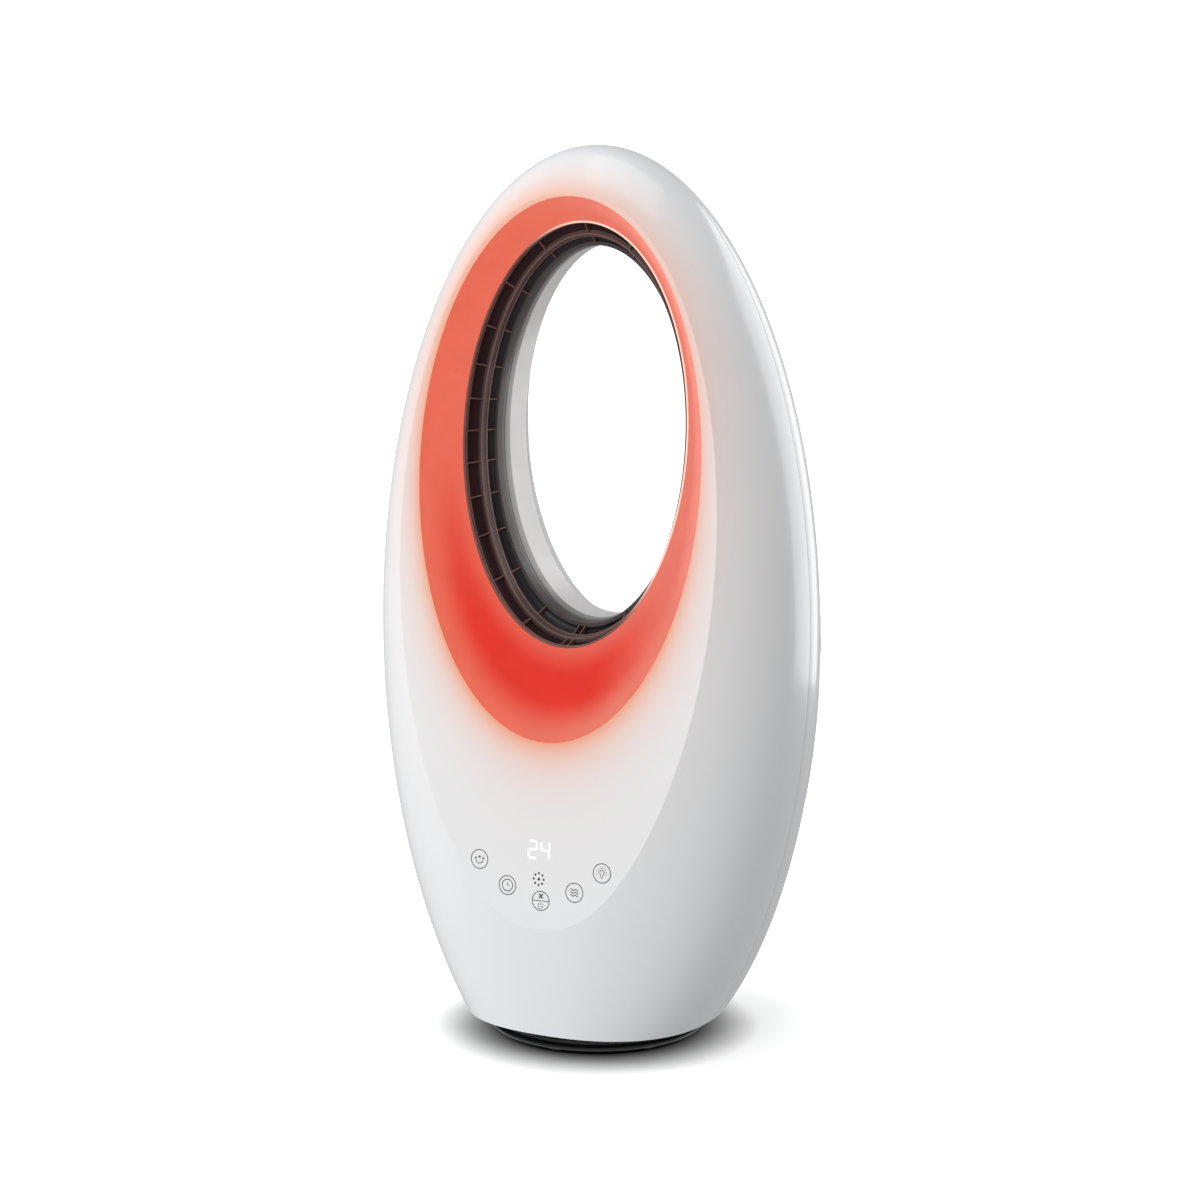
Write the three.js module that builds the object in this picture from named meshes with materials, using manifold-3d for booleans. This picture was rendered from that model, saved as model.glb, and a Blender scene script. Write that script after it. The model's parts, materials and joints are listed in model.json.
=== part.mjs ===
// Bladeless table fan: an egg-shaped body with an oval through-hole, a light ring and an
// air outlet grille round the hole, and a blower in the lower body. The body swings on a
// round weighted base. Millimetres, +Z up, front towards -Y, origin on the floor in the
// middle of the base.
import * as THREE from 'three';
import { mergeVertices } from 'three/addons/utils/BufferGeometryUtils.js';
import Module from 'manifold-3d';

const wasm = await Module();
wasm.setup();

// ---------------------------------------------------------------- driving dimensions
const gap = 0.3; // between pieces that meet
const running = 0.5; // between pieces that turn past each other

// Body outline, seen from the front: an ellipse cut off at the bottom
const height = 600;
const bodyHalfWidth = 155.8;
const widestZ = height * 0.4667;
const bodyBottomZ = 15;
// Body depth either side of the widest line
const frontBulge = 91.5;
const frontCrownPower = 2.4; // fullness of the front towards the top
const frontBulgeZ = height * 0.35;
const frontBulgeDrop = height * 0.7533; // where the front bulge would close below its widest height
const rearBulge = 87.24;
const rearBulgeZ = height * 0.2167;
const rearBulgeDrop = height * 0.5367;
const sectionPower = 2.4; // fullness of the body's horizontal sections
const shellWall = 2.5;
const seamY = -2; // where the front and rear shells meet

// Flat front plate, leaning back
const plateY = -65.1;
const plateZ = height * 0.5523;
const plateLean = 0.095;
const plateWall = 2.8;

// Light ring and hole
const ringHalfWidth = 103.4;
const ringHalfHeight = height * 0.295;
const ringZ = height * 0.6477;
const ringBandSide = 20.7; // the lit band is narrow beside and above the hole, wide below it
const ringBandTop = 16.1;
const ringBandBottom = 59.9;
const rimHalfWidth = ringHalfWidth - ringBandSide;
const rimHalfHeight = ringHalfHeight - (ringBandTop + ringBandBottom) / 2;
const rimZ = ringZ + (ringBandBottom - ringBandTop) / 2;
const rimSetback = 22; // the hole's rim behind the front plate
const bowlPower = 1.6; // curve of the light ring from plate to rim
const diffuserWall = 2;
const lightChamber = 12; // between diffuser and reflector at the outer edge
const lightChamberAtRim = 2.5;
const reflectorWall = 1.5;
const reflectorSetback = 5.6; // of its front edge behind the front plate
const ledStripWidth = 5;
const ledStripSetback = 8.4;
const ledStripWall = 1.2;
const throatInset = 13; // how much narrower the hole is at its throat
const throatY = 28;
const throatWall = 2;
const flareLength = 60; // the hole widens again behind its throat
const flareWidth = 45;

// Outlet grille round the hole: shares of the way from rim to throat
const ribCount = 24;
const ribWidth = 1.6;
const ribInset = 0.5; // the ribs' edges lie this far inside the hoops' faces
const hoopWall = 3;
const rimHoopShare = 0.04;
const ledgeStartShare = 0.24;
const ledgeEndShare = 0.34;
const bandStartShare = 0.49;
const bandEndShare = 0.63;

// Air inlet panel low on the back
const panelTopZ = height * 0.4867;
const panelDrop = height * 0.4;
const panelHalfWidth = 150; // past the body's outline, so that the panel runs into its sides
const panelPower = 2.6; // fullness of the panel's outline
const panelProud = 1;
const panelWall = 2.5;
const panelMargin = 12; // between the panel and the hole's flared edge
const slotPitch = 30;
const slotHeight = 18;
const slotBorder = 11;
const slotColumn = 64;
const slotBar = 6;
const filterWall = 2.5;
const filterLap = 4;

// Base
const footHeight = 3;
const footRadius = 7;
const footCount = 6;
const footCircle = 60;
const baseRadius = 74.6;
const baseWall = 2.8;
const baseHeight = 10.8;
const baseStep = 3.2; // each ledge round the base is this much smaller than the last
const ballastThickness = 5.5;
const ballastBore = 20;
const coverThickness = 2.6;
const hubRadius = 12;
const baseScrewCount = 3;
const baseScrewCircle = 15;

// Swing drive
const swingStopAngle = 40; // degrees each way
const gearModule = 1.5;
const ringGearTeeth = 36;
const pinionTeeth = 12;
const pressureAngle = 25;
const backlash = 0.3;
const gearThickness = 6;
const slideRingWidth = 7;
const slideRingHeight = 8.4;
const turntableThickness = 3;
const slideRingMargin = 1.5; // to the screw heads outside it
const stopPinRadius = 3;
const stopPinMargin = 3; // to the slide ring
const swingMotorRadius = 14;
const swingMotorHeight = 19;
const pinionShaftRadius = 2.2;

// Blower
const blowerY = 6;
const housingRadius = 60;
const housingWall = 2.5;
const housingBottomZ = height * 0.13;
const housingTopZ = height * 0.3167;
const legX = housingRadius * 0.883;
const legSpreadY = housingRadius * 0.567;
const legWidth = 9;
const bellHeight = height * 0.0267;
const bladeTipGap = 4.5;
const impellerRadius = housingRadius - housingWall - bladeTipGap;
const bellLap = 7; // how far the bell's mouth reaches in under the blades
const bellThroatRadius = impellerRadius - bellLap;
const impellerHeight = height * 0.0667;
const impellerHubRadius = 20;
const impellerHubFlare = 10; // the hub is wider at its top
const impellerHubRim = 5; // straight part of the hub at its top
const bladeInset = 2.5; // the blades stop this far short of the hub's ends
const bladeCount = 9;
const bladeWall = 2.4;
const bladeSweepAngle = 35; // degrees from leading to trailing edge
const shaftRadius = 3;
const motorRadius = 25;
const motorHeight = height * 0.07;
const mountHeight = 8;
const mountWall = 2.4;
const cupWall = 2;
const vaneCount = 7;
const vaneSweepAngle = 24;
const capHeight = height * 0.0333;
const ductHeight = height * 0.0767;
const ductHalfWidth = 100;
const ductHalfDepth = 45;
const ductWall = 2;

// Electronics
const boardWall = 1.6;
const touchBoardWidth = 108;
const touchBoardHeight = 40;
const touchBoardZ = height * 0.1983;
const displayWidth = 30;
const displayHeight = 16;
const displayDepth = 6;
const displayZ = height * 0.2517;
const displayBoardMargin = 6;
const controlBoardWidth = 84;
const controlBoardDepth = 30;
const controlBoardY = -58;
const chipWidth = 12;
const chipHeight = 1.8;
const plugWidth = 12;
const plugDepth = 7;
const plugHeight = 7;
const canRadius = 4;
const canHeight = 12;
const standoff = 4;
const socketWidth = 14;
const socketHeight = 11;
const socketDepth = 17;
const socketZ = panelTopZ - panelDrop - filterLap - gap - socketHeight / 2;
const socketBore = 3;

// Fasteners
const screwRadius = 1.5;
const screwHeadRadius = 3.4;
const screwHeadHeight = 1.9;
const screwLength = 14;
const bossRadius = 5.5;
const bossHeight = 17;
const bossX = bodyHalfWidth * 0.32;
const bossY = 66;
const webWall = 3; // of the web that ties a boss to its shell

// Mesh fineness
const ringsBelow = 5; // below the body's widest height
const ringsAbove = 10;
const bodySides = 32;
const ringSteps = 40;
const sides = { fine: 36, round: 24, small: 12, bore: 8 };

// ---------------------------------------------------------------- heights that follow
const baseBottomZ = footHeight + gap;
const coverBottomZ = baseBottomZ + baseHeight + gap;
const coverTopZ = coverBottomZ + coverThickness;
const turntableBottomZ = coverTopZ + gap + slideRingHeight + gap;
const turntableTopZ = turntableBottomZ + turntableThickness;
const floorZ = turntableTopZ + gap; // where pieces stand on the turntable
const nearestLeg = Math.hypot(legX, legSpreadY - blowerY);
const slideRingRadius = nearestLeg - screwHeadRadius - slideRingMargin;
const stopPinCircle = slideRingRadius - slideRingWidth - stopPinMargin - stopPinRadius;
const gearRadius = (gearModule * ringGearTeeth) / 2;
const pinionRadius = (gearModule * pinionTeeth) / 2;
const pinionY = gearRadius + pinionRadius;
const housingBore = housingRadius - housingWall;
const bladeBottomZ = housingBottomZ + 3;
const impellerTopZ = bladeBottomZ + impellerHeight;
const cupBottomZ = impellerTopZ + 5;
const motorBottomZ = cupBottomZ + cupWall + gap;
const motorTopZ = motorBottomZ + motorHeight;
const cupBore = motorRadius + gap + mountWall + gap;
const cupRadius = cupBore + cupWall;
const cupTopZ = motorTopZ;
const throatHalfWidth = rimHalfWidth - throatInset;
const throatHalfHeight = rimHalfHeight - throatInset;
const plateBack = plateWall + gap;
const far = 2 * height; // longer than anything that is cut

// ---------------------------------------------------------------- solids
function signedVolume(position, index) {
  const corner = [new THREE.Vector3(), new THREE.Vector3(), new THREE.Vector3()];
  let total = 0;
  for (let i = 0; i < index.length; i += 3) {
    corner.forEach((v, k) => v.fromBufferAttribute(position, index[i + k]));
    total += corner[0].dot(corner[1].cross(corner[2]));
  }
  return total;
}

// A closed geometry as a solid, with its faces turned outwards
function solid(geometry) {
  const bare = geometry.clone();
  bare.deleteAttribute('normal');
  bare.deleteAttribute('uv');
  const welded = mergeVertices(bare);
  const source = welded.index.array;
  const index = [];
  for (let i = 0; i < source.length; i += 3) {
    const [a, b, c] = source.slice(i, i + 3);
    if (a !== b && b !== c && c !== a) index.push(a, b, c);
  }
  if (signedVolume(welded.attributes.position, index) < 0) index.reverse();
  return new wasm.Manifold(new wasm.Mesh({
    numProp: 3,
    vertProperties: Float32Array.from(welded.attributes.position.array),
    triVerts: Uint32Array.from(index),
  }));
}

function geometryOf(body) {
  const mesh = body.getMesh();
  const geometry = new THREE.BufferGeometry();
  geometry.setAttribute('position', new THREE.Float32BufferAttribute(mesh.vertProperties, 3));
  geometry.setIndex(Array.from(mesh.triVerts));
  geometry.computeVertexNormals();
  return geometry;
}

const span = (middle, size) => [middle - size / 2, middle + size / 2];
const join = (first, ...rest) => rest.reduce((whole, piece) => whole.add(piece), first);
const cut = (whole, ...tools) => tools.reduce((left, tool) => left.subtract(tool), whole);

function box(x, y, z) {
  const geometry = new THREE.BoxGeometry(x[1] - x[0], y[1] - y[0], z[1] - z[0]);
  geometry.translate((x[0] + x[1]) / 2, (y[0] + y[1]) / 2, (z[0] + z[1]) / 2);
  return solid(geometry);
}

function cylinder(radius, z, x = 0, y = 0, count = sides.round) {
  const geometry = new THREE.CylinderGeometry(radius, radius, z[1] - z[0], count);
  geometry.rotateX(Math.PI / 2);
  geometry.translate(x, y, (z[0] + z[1]) / 2);
  return solid(geometry);
}

// A profile of [radius, height] points turned about an upright axis
function turned(profile, y = 0, count = sides.round) {
  const geometry = new THREE.LatheGeometry(profile.map((p) => new THREE.Vector2(...p)), count);
  geometry.rotateX(Math.PI / 2);
  geometry.translate(0, y, 0);
  return solid(geometry);
}

const tube = (inner, outer, z, y = 0, count = sides.round) =>
  turned([[inner, z[0]], [outer, z[0]], [outer, z[1]], [inner, z[1]], [inner, z[0]]], y, count);

// Rings of points, one above the other, closed by a fan at each end
function stacked(rings) {
  const size = rings[0].length;
  const points = rings.flat();
  const index = [];
  for (let r = 0; r + 1 < rings.length; r += 1) {
    for (let s = 0; s < size; s += 1) {
      const a = r * size + s;
      const b = r * size + ((s + 1) % size);
      index.push(a, b, b + size, a, b + size, a + size);
    }
  }
  const last = (rings.length - 1) * size;
  for (let s = 1; s + 1 < size; s += 1) {
    index.push(0, s + 1, s, last, last + s, last + s + 1);
  }
  return solid(indexed(points, index));
}

function indexed(points, index) {
  const geometry = new THREE.BufferGeometry();
  geometry.setAttribute('position', new THREE.Float32BufferAttribute(points.flat(), 3));
  geometry.setIndex(index);
  return geometry;
}

// A closed section carried once round the hole; section(t) is the section at ellipse angle t
function roundHole(section, steps = ringSteps) {
  const loops = [];
  for (let i = 0; i < steps; i += 1) loops.push(section((i / steps) * 2 * Math.PI));
  const size = loops[0].length;
  const index = [];
  for (let i = 0; i < steps; i += 1) {
    for (let k = 0; k < size; k += 1) {
      const a = i * size + k;
      const b = i * size + ((k + 1) % size);
      const c = ((i + 1) % steps) * size + k;
      const d = ((i + 1) % steps) * size + ((k + 1) % size);
      index.push(a, b, d, a, d, c);
    }
  }
  return solid(indexed(loops.flat(), index));
}

// An oval bar along Y, with corners at the same angles as roundHole
function ovalBar(halfWidth, halfHeight, z, y) {
  const geometry = new THREE.CylinderGeometry(1, 1, y[1] - y[0], ringSteps);
  geometry.scale(halfWidth, 1, halfHeight);
  geometry.translate(0, (y[0] + y[1]) / 2, z);
  return solid(geometry);
}

// ---------------------------------------------------------------- body surface
const bulge = (z, peak, peakZ, rise, drop, crown = 2) => {
  const share = (z - peakZ) / (z > peakZ ? rise : drop);
  return peak * Math.max(0, 1 - share * share) ** (1 / (z > peakZ ? crown : 2));
};

// The horizontal section at height z, drawn in by inset
function sectionPoints(z, inset) {
  const top = height - inset;
  const across = bulge(z, bodyHalfWidth - inset, widestZ, top - widestZ, top - widestZ);
  const rise = top - frontBulgeZ;
  const front = bulge(z, frontBulge - inset, frontBulgeZ, rise, frontBulgeDrop, frontCrownPower);
  const rear = bulge(z, rearBulge - inset, rearBulgeZ, top - rearBulgeZ, rearBulgeDrop);
  const points = [];
  for (let s = 0; s < bodySides; s += 1) {
    const angle = (s / bodySides) * 2 * Math.PI;
    const c = Math.cos(angle);
    const d = Math.sin(angle);
    const x = across * Math.sign(c) * Math.abs(c) ** (2 / sectionPower);
    const y = (d > 0 ? rear : front) * Math.sign(d) * Math.abs(d) ** (2 / sectionPower);
    points.push([x, y, z]);
  }
  return points;
}

function bodyLoft(inset, lowZ = bodyBottomZ) {
  const rise = height - inset - widestZ;
  const start = Math.asin((lowZ - widestZ) / rise);
  const rings = [];
  for (let r = -ringsBelow; r < ringsAbove; r += 1) {
    const angle = r < 0 ? (-r / ringsBelow) * start : (r / ringsAbove) * (Math.PI / 2);
    rings.push(sectionPoints(widestZ + rise * Math.sin(angle), inset));
  }
  rings.push(sectionPoints(height - inset, inset));
  return stacked(rings);
}

const plateAt = (z) => plateY + plateLean * (z - plateZ);

// All that lies behind a plane parallel to the front plate
function behindPlate(setback) {
  const geometry = new THREE.BoxGeometry(far, far, far);
  geometry.translate(0, far / 2, 0);
  geometry.rotateX(-Math.atan(plateLean));
  geometry.translate(0, plateY + setback, plateZ);
  return solid(geometry);
}

// ---------------------------------------------------------------- light ring
const onOval = (halfWidth, halfHeight, z, t) => [halfWidth * Math.cos(t), z + halfHeight * Math.sin(t)];

// A point of the light ring: share 0 at the front plate, 1 at the rim
function bowl(t, share, back, grow = 0) {
  const outer = onOval(ringHalfWidth - gap + grow, ringHalfHeight - gap + grow, ringZ, t);
  const inner = onOval(rimHalfWidth + grow, rimHalfHeight + grow, rimZ, t);
  const x = outer[0] + (inner[0] - outer[0]) * share;
  const z = outer[1] + (inner[1] - outer[1]) * share;
  return [x, plateAt(z) + rimSetback * (1 - (1 - share) ** bowlPower) + back, z];
}

const bowlShares = [0, 0.25, 0.5, 0.75, 1];

function lightDiffuser() {
  return roundHole((t) => [
    ...bowlShares.map((share) => bowl(t, share, 0)),
    ...[1, 0.5, 0].map((share) => bowl(t, share, diffuserWall)),
  ]);
}

const chamberAt = (share) =>
  diffuserWall + lightChamber + (lightChamberAtRim - lightChamber) * share;

function lightReflector() {
  const grow = hoopWall + gap;
  return roundHole((t) => [
    bowl(t, 0, diffuserWall + 2 * gap),
    bowl(t, 0, reflectorSetback, -reflectorWall),
    bowl(t, 0, chamberAt(0), -reflectorWall),
    bowl(t, 1, chamberAt(1), grow),
    bowl(t, 1, chamberAt(1) + reflectorWall, grow),
    bowl(t, 0, chamberAt(0) + reflectorWall),
  ]);
}

// The LED strip stands against the reflector's outer wall
function ledStrip() {
  const outer = -reflectorWall - gap;
  return roundHole((t) => [
    bowl(t, 0, ledStripSetback, outer),
    bowl(t, 0, ledStripSetback, outer - ledStripWall),
    bowl(t, 0, ledStripSetback + ledStripWidth, outer - ledStripWall),
    bowl(t, 0, ledStripSetback + ledStripWidth, outer),
  ]);
}

// ---------------------------------------------------------------- hole lining
// A point of the hole's wall: share 0 behind the light ring's inner edge, 1 at the throat
function tunnel(t, inset, share) {
  const [x, z] = onOval(rimHalfWidth - inset, rimHalfHeight - inset, rimZ, t);
  const start = plateAt(z) + rimSetback + diffuserWall + gap;
  return [x, start + (throatY - start) * share, z];
}

const insetAt = (share) => throatInset * share;

function hoop(from, to, wall = hoopWall) {
  return roundHole((t) => [
    tunnel(t, insetAt(from), from),
    tunnel(t, insetAt(to), to),
    tunnel(t, insetAt(to) - wall, to),
    tunnel(t, insetAt(from) - wall, from),
  ]);
}

// One rib across both rows of air gaps, at a polar angle about the hole's centre
function rib(polar) {
  const t = Math.atan2(Math.sin(polar) / rimHalfHeight, Math.cos(polar) / rimHalfWidth);
  const speed = Math.hypot(rimHalfWidth * Math.sin(t), rimHalfHeight * Math.cos(t));
  const turn = ribWidth / 2 / speed;
  const from = rimHoopShare / 2;
  const to = (bandStartShare + bandEndShare) / 2;
  const side = (at) => [
    tunnel(at, insetAt(from) - ribInset, from),
    tunnel(at, insetAt(to) - ribInset, to),
    tunnel(at, insetAt(to) - hoopWall + ribInset, to),
    tunnel(at, insetAt(from) - hoopWall + ribInset, from),
  ];
  return stacked([side(t - turn), side(t + turn)]);
}

function outletGrille() {
  const ribs = [];
  for (let k = 0; k < ribCount; k += 1) ribs.push(rib((k / ribCount) * 2 * Math.PI));
  const rim = hoop(0, rimHoopShare);
  const ledge = hoop(ledgeStartShare, ledgeEndShare);
  const band = hoop(bandStartShare, bandEndShare);
  return join(rim, ledge, band, ...ribs);
}

function throatRing() {
  const from = bandEndShare + gap / (throatY - plateY - rimSetback);
  return hoop(from, 1, throatWall);
}

// The space of the hole behind its throat, grown by a wall
function flare(wall) {
  const startY = throatY + gap;
  const rings = [];
  const ring = (y) => {
    const along = Math.min(Math.max(0, y - startY + wall), flareLength);
    const widen = wall + flareWidth * (1 - Math.sqrt(1 - (along / flareLength) ** 2));
    const points = [];
    for (let s = 0; s < ringSteps; s += 1) {
      const t = (s / ringSteps) * 2 * Math.PI;
      const [x, z] = onOval(throatHalfWidth + widen, throatHalfHeight + widen, rimZ, t);
      points.push([x, y, z]);
    }
    return points;
  };
  const flareSteps = 5;
  for (let k = 0; k <= flareSteps; k += 1) {
    rings.push(ring(startY + flareLength * Math.sin((k / flareSteps) * (Math.PI / 2))));
  }
  rings.push(ring(startY + flareLength + rearBulge));
  return stacked(rings);
}

// ---------------------------------------------------------------- inlet panel
function panelBar(grow) {
  const steps = 14;
  const top = panelTopZ + grow;
  const half = [];
  for (let k = 0; k <= steps; k += 1) {
    const angle = (k / steps) * (Math.PI / 2);
    const x = (panelHalfWidth + grow) * Math.cos(angle) ** (2 / panelPower);
    half.push([x, top - (panelDrop + 2 * grow) * Math.sin(angle) ** (2 / panelPower)]);
  }
  half[steps][0] = 0;
  const otherHalf = half.slice(0, -1).reverse().map(([x, z]) => [-x, z]);
  const shape = new THREE.Shape([...half, ...otherHalf].map((p) => new THREE.Vector2(...p)));
  const geometry = new THREE.ExtrudeGeometry(shape, { depth: far, bevelEnabled: false });
  geometry.rotateX(Math.PI / 2);
  geometry.scale(1, -1, 1);
  geometry.translate(0, seamY + bossRadius, 0);
  const edgeWidth = panelMargin + flareWidth * 0.75 - grow;
  const hole = ovalBar(throatHalfWidth + edgeWidth, throatHalfHeight + edgeWidth, rimZ, [0, far]);
  return cut(solid(geometry), hole);
}

function slots() {
  const rows = [];
  const width = 2 * panelHalfWidth;
  for (let z = panelTopZ - panelDrop + 2 * slotPitch; z < panelTopZ - slotHeight; z += slotPitch) {
    rows.push(box([-width / 2, width / 2], [0, far], [z, z + slotHeight]));
  }
  const bars = [];
  for (let x = 0; x < width / 2; x += slotColumn) {
    bars.push(box([x - slotBar / 2, x + slotBar / 2], [-1, far], [0, height]));
    if (x > 0) bars.push(box([-x - slotBar / 2, -x + slotBar / 2], [-1, far], [0, height]));
  }
  return cut(join(...rows), ...bars).intersect(panelBar(-slotBorder));
}

function inletPanel() {
  const slab = cut(bodyLoft(-panelProud), bodyLoft(panelWall - panelProud, bodyBottomZ - 1));
  return cut(slab.intersect(panelBar(0)), slots());
}

function dustFilter() {
  const front = shellWall + gap;
  const slab = cut(bodyLoft(front), bodyLoft(front + filterWall, bodyBottomZ - 1));
  return slab.intersect(panelBar(filterLap));
}

// ---------------------------------------------------------------- shells
// Two screw bosses stand by the wall of a shell, each tied to it by a web
const bosses = (side) => [-1, 1].map((hand) => {
  const z = [floorZ, floorZ + bossHeight];
  const post = cylinder(bossRadius, z, hand * bossX, side * bossY, sides.small);
  const reach = [side * bossY, side * 2 * bossY].sort((a, b) => a - b);
  return join(post, box(span(hand * bossX, webWall), reach, z));
});

const bossBores = (side) => [-1, 1].map((hand) => {
  const top = floorZ + screwLength;
  return cylinder(screwRadius + gap, [0, top], hand * bossX, side * bossY, sides.bore);
});

function frontShell() {
  const outer = bodyLoft(0).intersect(behindPlate(0));
  const inner = bodyLoft(shellWall, bodyBottomZ - 1).intersect(behindPlate(plateWall));
  const opening = ovalBar(ringHalfWidth, ringHalfHeight, ringZ, [-far, 0]);
  const behindSeam = box([-far, far], [seamY - gap / 2, far], [-far, far]);
  const posts = bosses(-1).map((post) => post.intersect(outer));
  return cut(join(cut(outer, inner), ...posts), opening, behindSeam, ...bossBores(-1));
}

function rearShell() {
  const outer = bodyLoft(0);
  const inner = cut(bodyLoft(shellWall, bodyBottomZ - 1), flare(shellWall));
  const beforeSeam = box([-far, far], [-far, seamY + gap / 2], [-far, far]);
  const posts = bosses(1).map((post) => post.intersect(outer));
  const shell = join(cut(outer, inner), ...posts);
  return cut(shell, flare(0), beforeSeam, panelBar(gap), socketBlock(gap), ...bossBores(1));
}

// ---------------------------------------------------------------- base
const around = (count, radius, start = 0) => Array.from({ length: count }, (_, k) => {
  const angle = start + (k / count) * 2 * Math.PI;
  return [radius * Math.cos(angle), radius * Math.sin(angle)];
});

const footPlaces = around(footCount, footCircle, Math.PI / 6);
const baseScrewPlaces = around(baseScrewCount, baseScrewCircle + screwHeadRadius, Math.PI / 2);

const rubberFoot = () => turned([
  [0, 0], [footRadius - 1, 0], [footRadius, 1], [footRadius, footHeight], [0, footHeight],
], 0, sides.small);

// The dish that stands on the feet, with ledges round its outside
function basePlate() {
  const low = baseBottomZ;
  const ledge = baseHeight / 3;
  const radii = [0, 1, 2].map((k) => baseRadius - k * baseStep);
  const inner = radii[2] - baseWall;
  const dish = turned([
    [0, low], [radii[0] - 2, low], [radii[0], low + 2],
    [radii[0], low + ledge], [radii[1], low + ledge],
    [radii[1], low + 2 * ledge], [radii[2], low + 2 * ledge],
    [radii[2], low + baseHeight], [inner, low + baseHeight],
    [inner, low + baseWall], [0, low + baseWall],
  ], 0, sides.fine);
  const bores = baseScrewPlaces.map(([x, y]) => cylinder(screwRadius + gap, [0, far], x, y, sides.bore));
  return cut(dish, ...bores);
}

function ballast() {
  const low = baseBottomZ + baseWall + gap;
  const outer = baseRadius - 2 * baseStep - baseWall - gap;
  return tube(ballastBore + screwHeadRadius, outer, [low, low + ballastThickness]);
}

// The cover carries the hub that the body turns on, and the pin that stops the swing
function baseCover() {
  const outer = baseRadius - 2 * baseStep;
  const top = floorZ;
  const cover = turned([
    [0, coverBottomZ], [outer, coverBottomZ], [outer, coverTopZ],
    [hubRadius, coverTopZ], [hubRadius, top], [0, top],
  ], 0, sides.fine);
  const feet = baseScrewPlaces.map(([x, y]) => (
    cylinder(screwHeadRadius, [baseBottomZ + baseWall + gap, coverTopZ], x, y, sides.small)));
  const pin = cylinder(stopPinRadius, [coverBottomZ, turntableTopZ], 0, -stopPinCircle, sides.small);
  const bores = baseScrewPlaces.map(([x, y]) => (
    cylinder(screwRadius + gap, [0, baseBottomZ + screwLength - 2], x, y, sides.bore)));
  const hubBore = cylinder(screwRadius + gap, [floorZ - screwLength, far], 0, 0, sides.bore);
  return cut(join(cover, pin, ...feet), hubBore, ...bores);
}

const slideRing = () => tube(
  slideRingRadius - slideRingWidth,
  slideRingRadius,
  [coverTopZ + gap, coverTopZ + gap + slideRingHeight],
);

const pivotWasher = () => tube(
  screwRadius + gap,
  hubRadius + 7,
  [floorZ + gap, floorZ + gap + screwRadius],
);

// A screw pointing up, its head below height z
const screw = (length = screwLength) => turned([
  [0, -screwHeadHeight], [screwHeadRadius - 0.8, -screwHeadHeight], [screwHeadRadius, -0.8],
  [screwHeadRadius, 0], [screwRadius, 0], [screwRadius, length - 1.5], [0, length],
], 0, sides.bore);

// ---------------------------------------------------------------- swing drive
const involute = (angle) => Math.tan(angle) - angle;

// A spur gear's outline, teeth pointing outwards, the first tooth at angle start
function gearShape(teeth, start) {
  const pressure = THREE.MathUtils.degToRad(pressureAngle);
  const pitch = (gearModule * teeth) / 2;
  const base = pitch * Math.cos(pressure);
  const root = pitch - 1.25 * gearModule;
  const tip = pitch + gearModule * 0.95;
  const halfAt = (radius) => {
    const flank = radius > base ? Math.acos(base / radius) : 0;
    return Math.PI / (2 * teeth) - backlash / (2 * pitch) + involute(pressure) - involute(flank);
  };
  const flankRadii = [root, pitch, tip];
  const shape = new THREE.Shape();
  for (let k = 0; k < teeth; k += 1) {
    const centre = start + (k / teeth) * 2 * Math.PI;
    const rising = flankRadii.map((radius) => [radius, centre - halfAt(radius)]);
    const falling = flankRadii.map((radius) => [radius, centre + halfAt(radius)]).reverse();
    [...rising, ...falling].forEach(([radius, angle], i) => {
      const place = [radius * Math.cos(angle), radius * Math.sin(angle)];
      if (k === 0 && i === 0) shape.moveTo(...place);
      else shape.lineTo(...place);
    });
  }
  return shape;
}

function gear(teeth, start, z) {
  const depth = z[1] - z[0];
  const geometry = new THREE.ExtrudeGeometry(gearShape(teeth, start), { depth, bevelEnabled: false });
  geometry.translate(0, 0, z[0]);
  return solid(geometry);
}

function swingGear() {
  const z = [coverTopZ + gap, coverTopZ + gap + gearThickness];
  return cut(gear(ringGearTeeth, Math.PI / 2, z), cylinder(hubRadius + gap, [0, far]));
}

// Drawn about its own axis, with a gap between teeth facing the fixed gear
function swingPinion() {
  const low = coverTopZ + 2 * gap;
  const z = [low, low + gearThickness - 2 * gap];
  const wheel = gear(pinionTeeth, Math.PI / pinionTeeth - Math.PI / 2, z);
  const shaft = cylinder(pinionShaftRadius, [low, floorZ + pinionShaftRadius * 2], 0, 0, sides.small);
  return join(wheel, shaft);
}

function swingMotor() {
  const can = cylinder(swingMotorRadius, [floorZ, floorZ + swingMotorHeight], 0, pinionY);
  const plug = box(
    [-swingMotorRadius / 2, swingMotorRadius / 2],
    [pinionY, pinionY + swingMotorRadius + 3],
    [floorZ, floorZ + swingMotorHeight * 0.7],
  );
  const ears = box(
    span(0, 2 * (swingMotorRadius + 2 * screwHeadRadius + 2 * running)),
    [pinionY - 3.5, pinionY + 3.5],
    [floorZ, floorZ + 1.2],
  );
  const bore = cylinder(
    pinionShaftRadius + running,
    [floorZ - 1, floorZ + pinionShaftRadius * 3],
    0,
    pinionY,
    sides.small,
  );
  const holes = earPlaces.map(([x, y]) => cylinder(screwRadius + gap, [0, floorZ + 2], x, y, sides.bore));
  return cut(join(can, plug, ears), bore, ...holes);
}

const earPlaces = [-1, 1].map((hand) => (
  [hand * (swingMotorRadius + screwHeadRadius + running), pinionY]));

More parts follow.
